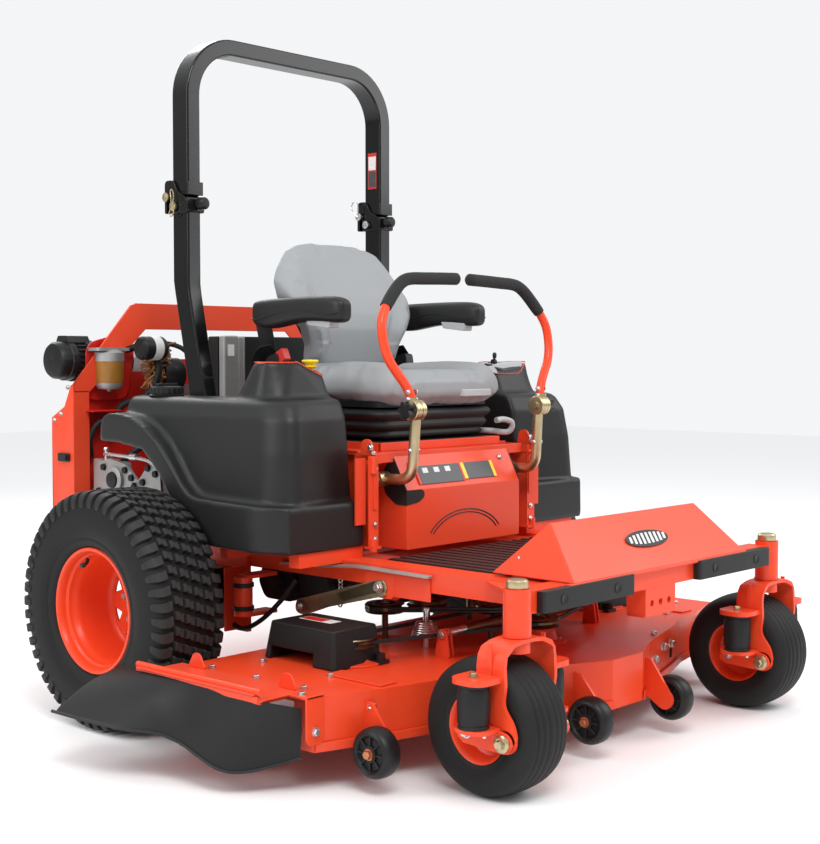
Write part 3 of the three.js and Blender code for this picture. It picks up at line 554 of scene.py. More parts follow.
def rear_rim(side, hand):
    body = f"rear_wheel_{hand}"
    shape = Shape()
    wall = [(171, 893), (173, 897), (170, 901), (163, 900), (158, 893), (156.5, 878), (150, 872),
            (148.5, 858), (143, 852), (141, 838), (138, 800), (134, 758), (128, 748), (122, 745.5)]
    skin = wall + [(122, 738), (139, 750), (143, 800), (146, 740), (152, 722), (166, 716), (172, 712),
                   (171, 706), (168, 706), (168, 720), (155, 730), (151, 760), (149, 842), (155, 848),
                   (156, 862), (162, 868), (164, 884)]
    shape.lathe("x", [(r, side * x) for r, x in skin], (0, 0, AXLE_Z), 72)
    spokes = 8
    for k in range(spokes):
        turn = 2 * math.pi * k / spokes
        step = math.pi / spokes
        web = [(70, -step), (70, step), (84, step), (112, step * 0.5), (124, step * 0.52),
               (124, -step * 0.52), (112, -step * 0.5), (84, -step)]
        flat = [(r * math.cos(turn + a), AXLE_Z + r * math.sin(turn + a)) for r, a in web]
        shape.prism("x", flat, side * 739, side * 745)
    shape.lathe("x", [(112, side * 739), (126, side * 739), (126, side * 745.5), (112, side * 745.5)],
                (0, 0, AXLE_Z), 64)
    shape.lathe("x", [(20, side * 738), (84, side * 738), (84, side * 746), (64, side * 749),
                      (46, side * 749), (42, side * 744), (20, side * 744)], (0, 0, AXLE_Z), 64)
    shape.build(f"rear_rim_dish_{hand}", paint, body, bevel=1.2, angle=40, stands_for=[f"rear_rim_{hand}"])
    metal = Shape()
    metal.lathe("x", [(0, side * 664), (50, side * 664), (50, side * 737), (34, side * 739), (34, side * 762),
                      (24, side * 768), (0, side * 768)], (0, 0, AXLE_Z), 32)
    for k in range(5):
        angle = 2 * math.pi * k / 5 + 0.3
        metal.bolt((side * 748, 56 * math.cos(angle), AXLE_Z + 56 * math.sin(angle)), "x", 10, side)
    metal.build(f"rear_hub_{hand}", alloy, body, bevel=1)
    valve = Shape()
    valve.tube(rounded_path([(side * 868, 62, AXLE_Z + 132), (side * 876, 56, AXLE_Z + 122),
                             (side * 890, 54, AXLE_Z + 118)], 6), 5, 10)
    valve.disc("x", 6.5, side * 884, side * 896, (0, 54, AXLE_Z + 118), 12)
    valve.build(f"tyre_valve_{hand}", rubber, body, bevel=0.6)


# ---- casters -------------------------------------------------------------------------------
CASTER_AXLE_Y = CASTER_Y + CASTER_TRAIL
DAMPER_OUT, DAMPER_BACK, DAMPER_RADIUS = 138, 14, 37
PERCH_LOW, PERCH_TOP, EAR_LOW, EAR_TOP = 178, 188, 289, 302
GAUGE_AXLE_Z = 100


def both_halves(half, x):
    """A lathe profile, given as (radius, distance from the middle) for one side, about x."""
    return [(r, x + u) for r, u in half] + [(r, x - u) for r, u in reversed(half)]


def ear_plan(x, out, outer, back, bend):
    """The plan of a plate that stands out from the fork to carry the rubber springs."""
    corners = rounded([(back[0], -34), (back[0], back[1]), (outer, back[1]), (outer, -34)],
                      [4, 4, bend, bend], 8)
    return [(x + out * u, CASTER_Y + v) for u, v in corners]


def fork_bow(x):
    """The bent band over the wheel, its two legs and the ears for the rubber springs."""
    band = Shape()
    loop = [(-97, 306), (-97, 322), (-93, 345), (-80, 362), (-56, 372), (-25, 375)]
    loop += [(-u, z) for u, z in reversed(loop)]
    rings = []
    for u, z in loop:
        inner_u, inner_z = u * 0.905, z - (9 if abs(u) < 90 else 0)
        wide = 36 if abs(u) < 60 else 40
        y0, y1 = CASTER_Y - wide, CASTER_Y + wide
        rings.append([(x + u, y0, z), (x + u, y1, z), (x + inner_u, y1, inner_z),
                      (x + inner_u, y0, inner_z)])
    band.loft(rings)
    back = smooth_path([(0, CASTER_Y + 40, 318), (0, CASTER_Y + 39, 280), (0, CASTER_Y + 22, 244),
                        (0, PIVOT_Y + 48, 206), (0, PIVOT_Y + 28, 172), (0, PIVOT_Y + 26, PIVOT_Z)], 5)
    front = smooth_path([(0, CASTER_Y - 40, 318), (0, CASTER_Y - 42, 280), (0, PIVOT_Y + 6, 236),
                         (0, PIVOT_Y - 18, 200), (0, PIVOT_Y - 27, 172), (0, PIVOT_Y - 26, PIVOT_Z)], 5)
    rib = [(CASTER_Y - 6, 372), (CASTER_Y + 6, 372), (CASTER_Y + 6, 300), (CASTER_Y - 6, 300)]
    for out in (-1, 1):
        band.prism("z", ear_plan(x, out, 178, (90, 62), 40), EAR_LOW, EAR_TOP)
        x0, x1 = x + out * 87.4, x + out * 97.4
        band.loft([[(x0, p.y, p.z), (x1, p.y, p.z), (x1, q.y, q.z), (x0, q.y, q.z)]
                   for p, q in zip(front, back)])
        band.disc("x", 26.5, x0, x1, (0, PIVOT_Y, PIVOT_Z), 36)
        band.prism("x", rib, x + out * 96, x + out * 100)
    band.lathe("z", [(17, 340), (31, 340), (31, 378), (17, 378)], (x, CASTER_Y, 0), 32)
    return band


def kingpin(x):
    pin = Shape()
    pin.lathe("z", [(0, 487.5), (26, 487.5), (27, 491), (26, 504), (22, 508), (0, 508.5)],
              (x, CASTER_Y, 0), 36)
    pin.disc("z", 16, 352, 490, (x, CASTER_Y, 0), 24)
    for out in (-1, 1):
        pin.bolt((x + out * DAMPER_OUT, CASTER_Y + DAMPER_BACK, EAR_TOP), "z", 10)
    pin.bolt((x - 30, CASTER_Y + 46, 352), "z", 8)
    return pin


def swing_arms(x):
    arms = Shape()
    arm = arc(PIVOT_Y, PIVOT_Z, 24, 100, 280, 10)
    arm += [(CASTER_AXLE_Y + 10, 138), (CASTER_AXLE_Y + 28, 150), (CASTER_AXLE_Y + 26, 184),
            (CASTER_AXLE_Y + 8, 192), (CASTER_Y, PERCH_TOP)]
    for out in (-1, 1):
        arms.prism("x", arm, x + out * 100.5, x + out * 109)
        arms.prism("z", ear_plan(x, out, 172, (100, 60), 34), PERCH_LOW, PERCH_TOP)
    return arms


def rubber_springs(x):
    damper = Shape()
    radius = DAMPER_RADIUS
    column = [(0, PERCH_TOP), (radius - 1, PERCH_TOP), (radius - 1, 193), (radius - 3, 195), (radius, 203),
              (radius + 1, 238), (radius, 272), (radius - 3, 280), (radius - 1, 282),
              (radius - 1, EAR_LOW - 0.5), (0, EAR_LOW - 0.5)]
    for out in (-1, 1):
        damper.lathe("z", column, (x + out * DAMPER_OUT, CASTER_Y + DAMPER_BACK, 0), 48)
    return damper


def pivot_bolts(x):
    bolts = Shape()
    pivot = (0, PIVOT_Y, PIVOT_Z)
    for out in (-1, 1):
        bolts.lathe("x", [(0, x + out * 86), (9, x + out * 86), (9, x + out * 118), (0, x + out * 118)],
                    pivot, 20)
        bolts.lathe("x", [(0, x + out * 109), (21, x + out * 109), (21, x + out * 114), (17, x + out * 117),
                          (0, x + out * 117)], pivot, 28)
        bolts.bolt((x + out * 117, PIVOT_Y, PIVOT_Z), "x", 11, out)
    return bolts


def axle_and_nuts(x):
    axle = Shape()
    axle.disc("x", 10, x - 112, x + 112, (0, CASTER_AXLE_Y, CASTER_R), 20)
    for out in (-1, 1):
        axle.bolt((x + out * 109, CASTER_AXLE_Y, CASTER_R), "x", 12, out)
        for spot in (-18, 40):
            axle.bolt((x + out * DAMPER_OUT, CASTER_Y + spot, PERCH_LOW), "z", 7, -1)
    return axle


def caster_wheel(x, hand):
    hub, body = (0, CASTER_AXLE_Y, CASTER_R), f"caster_wheel_{hand}"
    tyre = Shape()
    half = [(79, 56), (82, 68), (92, 76), (97, 75), (101, 78), (120, 81), (138, 79), (150, 72.5),
            (157.5, 62), (160.5, 52), (159.9, 50.6), (161.2, 49), (163, 34), (162.4, 32.6), (163.4, 31),
            (164.6, 14), (163.9, 12.6), (164.8, 11)]
    tyre.lathe("x", both_halves(half, x) + [(76, x - 54), (76, x + 54)], hub, 96)
    tyre.build(f"caster_tyre_smooth_{hand}", tyre_rubber, body, bevel=0, angle=50,
               stands_for=[f"caster_tyre_{hand}"])
    rim = Shape()
    dish = [(74, 58), (80, 70), (84, 72), (84, 68), (78, 62), (76, 30), (60, 22), (40, 18), (26, 20),
            (24, 78), (12, 78), (12, 10), (40, 8), (70, 10)]
    for out in (-1, 1):
        rim.lathe("x", [(r, x + out * u) for r, u in dish], hub, 56)
    rim.build(f"caster_rim_dish_{hand}", paint, body, bevel=0.8, stands_for=[f"caster_rim_{hand}"])


def caster(side, hand):
    x = side * CASTER_X
    fork, swing = f"caster_fork_{hand}", f"caster_swing_{hand}"
    fork_bow(x).build(f"caster_bow_{hand}", paint, fork, bevel=1.6, angle=30,
                      stands_for=[f"caster_yoke_{hand}"])
    kingpin(x).build(f"caster_kingpin_{hand}", gold_zinc, fork, bevel=0.8)
    swing_arms(x).build(f"caster_swing_arms_{hand}", paint, swing, bevel=1.6,
                        stands_for=[f"caster_arm_{hand}"])
    springs = rubber_springs(x).build(f"caster_bushing_{hand}", rubber, swing, bevel=0.8,
                                      stands_for=[f"caster_damper_{hand}"])
    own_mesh(springs)
    pivot_bolts(x).build(f"caster_pivot_bolts_{hand}", gold_zinc, swing, bevel=0.6)
    axle_and_nuts(x).build(f"caster_axle_{hand}", silver, swing, bevel=0.6)
    caster_wheel(x, hand)


def gauge_wheel(where, x, y):
    body = f"gauge_{where}"
    tyre = Shape()
    half = [(11, 26), (20, 26), (21, 19), (38, 18), (41, 25), (46, 28), (52, 26), (57.5, 20), (60, 12),
            (60.5, 4)]
    tyre.lathe("x", both_halves(half, x), (0, y, GAUGE_AXLE_Z), 56)
    rib = [(18, -1.8), (42, -1.8), (42, 1.8), (18, 1.8)]
    for k in range(8):
        c, s = math.cos(math.pi * k / 4), math.sin(math.pi * k / 4)
        turned = [(y + u * c - v * s, GAUGE_AXLE_Z + u * s + v * c) for u, v in rib]
        tyre.prism("x", turned, x - 24, x + 24)
    tyre.build(f"gauge_tyre_{where}", panel_black, body, bevel=0.8, stands_for=[f"anti_scalp_{where}"])
    out = -1 if x < 0 else 1
    bolt = Shape()
    bolt.bolt((x + out * 26, y, GAUGE_AXLE_Z), "x", 11, out)
    bolt.bolt((x - 26, y, GAUGE_AXLE_Z), "x", 11, -1)
    bolt.build(f"gauge_bolt_{where}", copper, "deck", bevel=0.6)


# ---- roll bar ------------------------------------------------------------------------------
ROPS_INNER, ROPS_OUTER, ROPS_FRONT, ROPS_BACK = 389, 438, 155, 228
ROPS_HINGE_Z = 1499
ROPS_BEND_X, ROPS_BEND_Z = 253, 1800


def bent_side(across):
    """One edge of the hoop, seen from the front, at a distance across from the centreline."""
    radius = across - ROPS_BEND_X
    left = arc(-ROPS_BEND_X, ROPS_BEND_Z, radius, 180, 90, 14)
    return [(-across, ROPS_HINGE_Z)] + left + [(-x, z) for x, z in reversed(left)] + [(across, ROPS_HINGE_Z)]


def rops_hoop():
    hoop = Shape()
    hoop.loft([[(a[0], ROPS_FRONT, a[1]), (a[0], ROPS_BACK, a[1]), (b[0], ROPS_BACK, b[1]),
                (b[0], ROPS_FRONT, b[1])] for a, b in zip(bent_side(ROPS_OUTER), bent_side(ROPS_INNER))])
    ear = [(200, 1499), (200, 1540), (248, 1512), (250, 1488), (231, 1488), (228, 1499)]
    for side in (RIGHT, LEFT):
        hoop.prism("x", ear, side * 391, side * 436)
    hoop.build("rops_hoop_tube", gloss_black, "rops_top", bevel=7, rings=4, stands_for=["rops_hoop"])


def rops_post(side, hand):
    outline = [(155, 1496), (228, 1496), (228, 1246), (222, 1214), (156, 912), (62, 484), (-14, 484),
               (85, 912), (150, 1204), (155, 1236)]
    post = Shape()
    post.prism("x", outline, side * ROPS_INNER, side * ROPS_OUTER)
    foot = rounded([(side * 368, -45), (side * 447, -45), (side * 447, 110), (side * 368, 110)], 10)
    post.prism("z", foot, 470.4, 484)
    post.build(f"rops_post_tube_{hand}", gloss_black, "frame", bevel=6, rings=4,
               stands_for=[f"rops_post_{hand}"])


def rops_hinge(side, hand):
    plates = Shape()
    cheek = rounded([(150, 1448), (150, 1488), (196, 1512), (214, 1548), (256, 1548), (256, 1448)],
                    [4, 14, 14, 16, 16, 6])
    plates.prism("x", cheek, side * 380.5, side * 388.7)
    plates.prism("x", cheek, side * 438.3, side * 446.5)
    plates.box(side * 380.5, side * 446.5, 148, 154.6, 1450, 1490)
    plates.box(side * 380.5, side * 446.5, 229, 246, 1448, 1486)
    plates.box(side * 384, side * 443, 148.5, 154.6, 1500, 1540)
    plates.build(f"rops_hinge_plates_{hand}", gloss_black, "frame", bevel=2)
    knob = Shape()
    knob.lathe("y", [(0, 110), (12, 110), (18, 116), (19, 130), (16, 142), (8, 147), (7, 154), (0, 154)],
               (side * 405, 0, 1474), 28)
    knob.build(f"rops_knob_{hand}", panel_black, "frame", bevel=0.8)


def rops_pins(side, hand):
    """The two lock pins through each hinge, with their wire clips."""
    pins = Shape()
    for z, y in ((1497, 240), (1468, 206)):
        pins.disc("x", 8, side * 372, side * 458, (0, y, z), 20)
        pins.lathe("x", [(0, side * 452), (14, side * 452), (14, side * 457), (0, side * 460)], (0, y, z), 24)
        pins.lathe("x", [(0, side * 372), (13, side * 372), (13, side * 368), (0, side * 366)], (0, y, z), 24)
    outer_clip = [(455, 206, 1468), (462, 196, 1476), (464, 190, 1500), (462, 200, 1516), (460, 210, 1512),
                  (459, 208, 1490), (457, 212, 1466), (456, 222, 1446), (455, 214, 1438), (455, 202, 1448),
                  (455, 206, 1468)]
    inner_clip = [(364, 240, 1497), (358, 250, 1512), (358, 262, 1530), (360, 252, 1548), (364, 238, 1540),
                  (366, 236, 1516), (366, 240, 1497)]
    for clip in (outer_clip, inner_clip):
        pins.tube(smooth_path([(side * x, y, z) for x, y, z in clip]), 1.9, 8)
    pins.build(f"rops_pins_{hand}", gold_zinc if side < 0 else silver, "frame", bevel=0.6)


def rops_label():
    for name, material, inset, z0, z1 in (("border", label_red, 0, 1590, 1712),
                                          ("icon", label_white, 3, 1654, 1700),
                                          ("lines", label_grey, 3, 1596, 1650)):
        label = Shape()
        label.box(388.6 - 0.3 * (inset > 0), 388.95, 172 + inset, 212 - inset, z0, z1)
        label.build(f"rops_label_{name}", material, "rops_top", bevel=0)


def roll_bar():
    rops_hoop()
    for side, hand in HANDS:
        rops_post(side, hand)
        rops_hinge(side, hand)
        rops_pins(side, hand)
    rops_label()


# ---- side pods -----------------------------------------------------------------------------
CONSOLE_BASE = [(368, -390), (556, -386), (596, -330), (590, -250), (560, -204), (500, -140), (440, -66),
                (368, -4)]
CONSOLE_TOP = [(372, -364), (500, -364), (558, -345), (574, -305), (542, -258), (500, -224), (440, -238),
               (372, -288)]


CONSOLE_RISE = [(-400, 948), (-366, 962), (-300, 985), (-225, 1001), (0, 1001)]
POD_INNER, POD_VOXEL, POD_QUICK_VOXEL = 366, 6.5, 9


def along(knots, value):
    """The height of a line of (place, height) points at a place."""
    for (a, low), (b, high) in zip(knots, knots[1:]):
        if value <= b:
            return low + (high - low) * max(0.0, (value - a) / (b - a))
    return knots[-1][1]


def unit(value):
    return max(0.0, min(1.0, value))


def eased(value):
    """From 0 to 1 with a soft start and end."""
    t = unit(value)
    return t * t * (3 - 2 * t)


def console_top(side, x, y):
    """Height of the console's top, which falls to the front and towards the seat."""
    low, highest = along(CONSOLE_RISE, y), CONSOLE_RISE[-1][1]
    start, reach = (376, 90) if side == RIGHT else (490, 70)
    return low + (highest - low) * eased((abs(x) - start) / reach)


def lofted(rings):
    shape = Shape()
    shape.loft(rings)
    return temporary(shape)


def cut_side(points, start, end):
    shape = Shape()
    shape.prism("x", points, start, end)
    return temporary(shape)


def pod_flange():
    """The lower skirt that follows the tyre as an arch."""
    outline = [(-508, 500), (-190, 508), (-160, 514), (-83, 608), (-21, 688), (56, 754), (174, 770),
               (276, 773), (258, 835), (238, 850), (194, 856), (120, 848), (50, 818), (-20, 772),
               (-70, 722), (-120, 666), (-156, 640), (-190, 632), (-505, 624)]
    rings = []
    for z, grow in ((495, -12), (505, 0), (560, 0), (900, -4)):
        plan = rounded([(-360, -510 - grow), (-610, -546 - grow), (-690 - grow, -446), (-690 - grow, 285),
                        (-360, 285)], [10, 90, 90, 50, 5], 14)
        rings.append([(u, v, z) for u, v in plan])
    return combined(lofted(rings), [cut_side(outline, -POD_INNER, -696)], "INTERSECT")


def pod_upper():
    """The tall body, narrower towards the top and cut away over the wheel."""
    levels = ((600, 654, (612, -502), -456), (760, 642, (604, -494), -450), (850, 630, (596, -480), -440),
              (888, 614, (584, -458), -424), (898, 604, (576, -446), -414), (903, 590, (562, -430), -400))
    rings = []
    for z, x, (nose_x, nose_y), y in levels:
        plan = rounded([(-POD_INNER, y), (-nose_x, nose_y), (-x, nose_y + 66), (-x, 245), (-POD_INNER, 245)],
                       [8, 36, 70, 60, 5], 12)
        rings.append([(u, v, z) for u, v in plan])
    crest = [(-2, 765), (90, 815), (194, 835), (300, 842), (300, 500), (-220, 500), (-200, 622), (-112, 662)]
    return combined(lofted(rings), [cut_side(crest, -300, -700)], "DIFFERENCE")


def pod_console(side, base, top):
    low = [(-u, v, 893) for u, v in base]
    knee = [(-(0.95 * a[0] + 0.05 * b[0]), 0.95 * a[1] + 0.05 * b[1], 905) for a, b in zip(base, top)]
    high = [(-u, v, console_top(side, u, v)) for u, v in top]
    return lofted([low, knee, high])


def pod(side, hand):
    """One moulding, made for the driver's right and mirrored for the left."""
    base, top = rounded(CONSOLE_BASE, 24, 5), rounded(CONSOLE_TOP, 24, 5)
    tank_side = [(-500, 502), (-160, 512), (-70, 612), (-70, 800), (-440, 800), (-462, 625), (-500, 612)]
    flange = pod_flange()
    upper = pod_upper()
    tank = cut_side(tank_side, -POD_INNER, -585)
    whole = combined(upper, [flange, tank, pod_console(side, base, top)], "UNION")
    relief = Shape()
    relief.box(-300, -452, -160, 300, 400, 1100)
    whole = combined(whole, [temporary(relief)], "DIFFERENCE")
    mesh = moulded(whole, POD_VOXEL, 4)
    if side > 0:
        for vertex in mesh.vertices:
            vertex.co.x = 2 * ORIGIN.x - vertex.co.x
        mesh.flip_normals()
    dress(mesh, f"pod_moulding_{hand}", plastic, "frame", angle=180, stands_for=[f"pod_{hand}"])
    edge = [(side * u, v, console_top(side, u, v) + 1) for u, v in top]
    trim = Shape()
    trim.tube(smooth_path(edge + [edge[0]], 2), 1.5, 8)
    trim.build(f"console_trim_{hand}", paint, "frame", bevel=0)
    fuel_cap(side, hand)


CAP_X, CAP_Y = 548, 120


def fuel_cap(side, hand):
    x = side * CAP_X
    cap = Shape()
    cap.lathe("z", [(0, 902.5), (50, 902.5), (52, 906), (46, 910), (47, 912), (47, 926), (43, 931), (0, 932)],
              (x, CAP_Y, 0), 48)
    for k in range(20):
        angle = 2 * math.pi * k / 20
        cap.disc("z", 3.2, 911, 927, (x + 46.5 * math.cos(angle), CAP_Y + 46.5 * math.sin(angle), 0), 8)
    grip = [(x - 38, CAP_Y - 8), (x + 38, CAP_Y - 8), (x + 38, CAP_Y + 8), (x - 38, CAP_Y + 8)]
    cap.prism("z", rounded(grip, 7), 930, 940)
    cap.build(f"fuel_cap_ribbed_{hand}", panel_black, f"cap_{hand}", bevel=0.8,
              stands_for=[f"fuel_cap_{hand}"])


def pto_knob():
    knob = Shape()
    knob.lathe("z", [(0, 976), (9, 976), (9, 984), (17, 987), (19, 990), (12, 994), (12, 998), (22, 1001),
                     (24, 1005), (22, 1009), (0, 1010)], (-400, -332, 0), 36)
    knob.build("pto_knob_yellow", yellow, "pto", bevel=0.6, stands_for=["pto_knob"])


def console_switches():
    panel = Shape()
    for x0, x1, y0, y1 in ((424, 450, -350, -316), (466, 492, -350, -316), (420, 440, -300, -280)):
        corners = [(x0, y0), (x1, y0), (x1, y1), (x0, y1)]
        low = [(x, y, console_top(LEFT, x, y)) for x, y in corners]
        panel.loft([low, [(x, y, z + 7) for x, y, z in low]])
    panel.build("console_switches", panel_black, "frame", bevel=1)


def console_plates():
    plate = [(469 + (u - 469) * 0.93, -296 + (v + 296) * 0.9) for u, v in rounded(CONSOLE_TOP, 24, 5)]
    for (side, hand), material in zip(HANDS, (label_grey, grey_plastic)):
        face = [(side * u, v, console_top(side, u, v) + 1.2) for u, v in plate]
        cover = Shape()
        cover.loft([[(u, v, z - 6) for u, v, z in face], face])
        cover.build(f"console_plate_{hand}", material, "frame", bevel=1)


def throttle_lever():
    x, y = 476, -275
    lever = Shape()
    lever.disc("x", 9, x - 6, x + 6, (0, y, 1001), 24)
    lever.tube([(x, y, 1001), (x, y - 3, 1016), (x, y - 4, 1026)], 3.6, 10)
    lever.lathe("z", [(0, 1012), (6, 1013), (7, 1026), (4, 1031), (0, 1032)], (x, y - 3, 0), 20)
    lever.build("throttle_lever_knob", panel_black, "throttle", bevel=0.6, stands_for=["throttle_lever"])


def console_controls():
    pto_knob()
    console_switches()
    console_plates()
    throttle_lever()


# ---- steering levers -----------------------------------------------------------------------
GRIP_PATH = [(287, -612, 888), (288, -608, 912), (302, -603, 940), (324, -596, 970), (350, -589, 1006),
             (364, -582, 1050), (364, -573, 1104), (346, -566, 1142), (322, -561, 1170), (296, -557, 1196),
             (272, -554, 1216), (246, -552, 1229), (214, -551, 1234), (172, -550, 1235.5), (104, -549, 1238),
             (30, -548, 1240)]


FOAM_START_Z = 1150
CLAMP_Y, CLAMP_Z = -615, 872


def upper_lever(side, hand):
    """The painted tube with its foam grip; the grip narrows to a rounded end."""
    top = f"lever_top_{hand}"
    path = smooth_path([(side * x, y, z) for x, y, z in GRIP_PATH], 6)
    foam_from = next(i for i, p in enumerate(path) if p.z > FOAM_START_Z)
    steel = Shape()
    steel.tube(path[:foam_from + 3], 13, 20)
    steel.build(f"lever_tube_{hand}", paint, top, bevel=0, stands_for=[f"lever_grip_{hand}"])
    grip = Shape()
    run = path[foam_from:]
    radii = [16.5 + min(1, i / 4) for i in range(len(run))]
    end = run[-1]
    run = run + [end + Vector((-side * 5, 0, 0.2)), end + Vector((-side * 8, 0, 0.3))]
    grip.tube(run, radii + [14, 7], 24)
    grip.build(f"lever_foam_{hand}", foam, top, bevel=0, angle=60)


def lever_clamp(side, hand):
    """The ringed plate that holds the upper lever, and its star knob."""
    top, centre = f"lever_top_{hand}", (0, CLAMP_Y, CLAMP_Z)
    plate = Shape()
    profile = [(0, 273.4), (27, 273.4), (28.5, 275), (28.5, 284), (27.6, 285), (27.6, 286), (28.5, 287),
               (28.5, 295), (26, 297), (18, 294), (10, 297), (0, 297)]
    plate.lathe("x", [(r, side * x) for r, x in profile], centre, 48)
    plate.tube([(side * 287, -612.5, 880), (side * 287, -612, 906)], 14.5, 20)
    plate.build(f"lever_clamp_outer_{hand}", gold_zinc, top, bevel=0.6)
    star = Shape()
    points = []
    for k in range(40):
        angle = 2 * math.pi * k / 40
        r = 21 + 4.5 * math.cos(5 * angle)
        points.append((CLAMP_Y + r * math.cos(angle), CLAMP_Z + r * math.sin(angle)))
    star.prism("x", points, side * 304, side * 322)
    star.disc("x", 11, side * 296, side * 306, centre, 24)
    star.build(f"lever_star_knob_{hand}", panel_black, top, bevel=2.5, rings=3)


def lower_lever(side, hand):
    lower = Shape()
    profile = [(0, 251), (10, 251), (10, 257), (26, 257), (28.5, 259), (28.5, 265), (27.6, 266), (27.6, 267),
               (28.5, 268), (28.5, 273), (0, 273)]
    lower.lathe("x", [(r, side * x) for r, x in profile], (0, CLAMP_Y, CLAMP_Z), 48)
    path = rounded_path([(side * 262, -486, 678), (side * 275, -490, 678), (side * 275, -602, 682),
                         (side * 272, -614, 862)], 46, 10)
    lower.tube(path, 15, 24)
    lower.disc("x", 21, side * 258, side * 300, (0, -490, 678), 28)
    lower.build(f"lever_lower_tube_{hand}", gold_zinc, f"lever_{hand}", bevel=0.6,
                stands_for=[f"steering_lever_{hand}"])


def levers(side, hand):
    upper_lever(side, hand)
    lever_clamp(side, hand)
    lower_lever(side, hand)
    for z in (902, 922):
        bolt = Shape()
        for out in (-1, 1):
            bolt.bolt((side * 287 + out * 14, -612, z), "x", 6, out)
        bolt.build(f"lever_bolt_{z}_{hand}", silver, f"lever_top_{hand}", bevel=0.4)
    bolts = Shape()
    for out in (-1, 1):
        bolts.bolt((side * 274 + out * 15, -608, 762), "x", 6, out)
    bolts.bolt((side * 300, -490, 678), "x", 9, side)
    bolts.build(f"lever_pivot_bolts_{hand}", silver, f"lever_{hand}", bevel=0.4)


# ---- seat ----------------------------------------------------------------------------------
def pad_mesh(shape, voxel, inflate, cap, settle_rounds=5):
    """A stuffed pad: the solid is melted, blown up a little as cloth, and rounded."""
    piece = temporary(shape)
    mesh = moulded(piece, voxel, settle_rounds)
    pad = bpy.data.objects.new("pad", mesh)
    bpy.context.collection.objects.link(pad)
    start = [v.co.copy() for v in mesh.vertices]
    cloth = pad.modifiers.new("cloth", "CLOTH")
    cloth.settings.use_pressure = True
    cloth.settings.uniform_pressure_force = inflate
    cloth.settings.effector_weights.gravity = 0
    cloth.settings.tension_stiffness = 15
    cloth.settings.compression_stiffness = 15
    cloth.settings.bending_stiffness = 0.5
    cloth.point_cache.frame_start, cloth.point_cache.frame_end = 1, 20
    for step in range(1, 21):
        bpy.context.scene.frame_set(step)
    blown = applied(pad)
    for vertex, rest in zip(blown.vertices, start):
        move = vertex.co - rest
        if move.length > cap * MM:
            vertex.co = rest + move.normalized() * cap * MM
    bpy.data.objects.remove(pad)
    bpy.context.scene.frame_set(1)
    return blown


def rounded_section(width, low, high, power=3.2, count=28):
    """Points of a squarish oval: half width, bottom and top."""
    out = []
    for k in range(count):
        t = 2 * math.pi * k / count
        c, s = math.cos(t), math.sin(t)
        x = width * math.copysign(abs(c) ** (2 / power), c)
        z = (low + high) / 2 + (high - low) / 2 * math.copysign(abs(s) ** (2 / power), s)
        out.append((x, z))
    return out


def dress_pad(mesh, name, body, stands_for):
    piece = dress(mesh, name, vinyl, body, angle=180, subdivide=1, stands_for=stands_for)
    return piece


def machine_point(vertex):
    """Where a mesh point is in machine millimetres."""
    return (vertex.co.x - ORIGIN.x) / MM, (vertex.co.y - ORIGIN.y) / MM, vertex.co.z / MM


def bell(distance, width):
    """A bell that is 1 on a line and fades with the distance from it."""
    return math.exp(-(distance / width) ** 2)


def seat_cushion():
    shape = Shape()
    stations = [(-508, 212, 913, 946), (-500, 250, 900, 956), (-474, 270, 892, 962), (-400, 276, 890, 966),
                (-300, 274, 890, 968), (-200, 270, 892, 964), (-130, 262, 894, 962), (-60, 250, 898, 958),
                (-34, 235, 906, 950)]
    shape.loft([[(x, y, z) for x, z in rounded_section(w, a, b, 4.0, 40)] for y, w, a, b in stations])
    mesh = pad_mesh(shape, 7, 4.0, 16)
    for vertex in mesh.vertices:
        x, y, z = machine_point(vertex)
        bolster = eased((abs(x) - 150) / 50)
        front, along_side = unit((-y - 300) / 130), unit((-y - 70) / 60)
        lift = (24 * bolster * along_side - 6 * (1 - bolster)) + 6 * front * (1 - bolster)
        seam = 7 * bell(abs(x) - 158, 7)
        vertex.co.z += unit((z - 935) / 25) * (lift - seam) * MM
        if y < -440:
            vertex.co.y += 6 * bell(abs(x) - 120, 16) * MM
    dress_pad(mesh, "seat_cushion_cover", "seat", ["seat_cushion"])
    pan = Shape()
    pan.prism("z", rounded([(-240, -452), (240, -452), (240, -40), (-240, -40)], 40, 6), 873, 892)
    pan.build("seat_pan", panel_black, "seat", bevel=2)
    tab = Shape()
    outline = rounded([(60, -500), (196, -500), (204, -440), (52, -440)], [16, 16, 8, 8], 5)
    tab.prism("z", outline, 900, 922)
    tab.build("seat_release_tab", grey_plastic, "seat", bevel=4, rings=3)


BACK_WIDTH = [(905, 180), (930, 210), (990, 236), (1050, 244), (1100, 272), (1150, 290), (1200, 288),
              (1262, 274), (1310, 246), (1345, 214), (1365, 172), (1378, 104)]
BACK_FRONT = [(905, -62), (928, -72), (1000, -108), (1100, -122), (1180, -112), (1280, -62), (1376, -14)]
BACK_REAR = [(905, -20), (928, -20), (1100, -18), (1200, -2), (1300, 18), (1376, 24)]


def rear_taper(z):
    """How much narrower the pad is behind than in front: a lot low down, nothing at the top."""
    return 0.4 * unit((1230 - z) / 130)


def back_pad_rings():
    rings = []
    for z in (906, 925, 960, 1000, 1050, 1100, 1150, 1200, 1250, 1290, 1320, 1345, 1364, 1379):
        ahead, behind = along(BACK_FRONT, z) + 5, along(BACK_REAR, z) - 4
        ring = []
        for x, y in rounded_section(along(BACK_WIDTH, z) - 8, ahead, behind, 3.4, 40):
            depth = (y - ahead) / (behind - ahead)
            ring.append((x * (1 - rear_taper(z) * depth), y, z))
        rings.append(ring)
    return rings


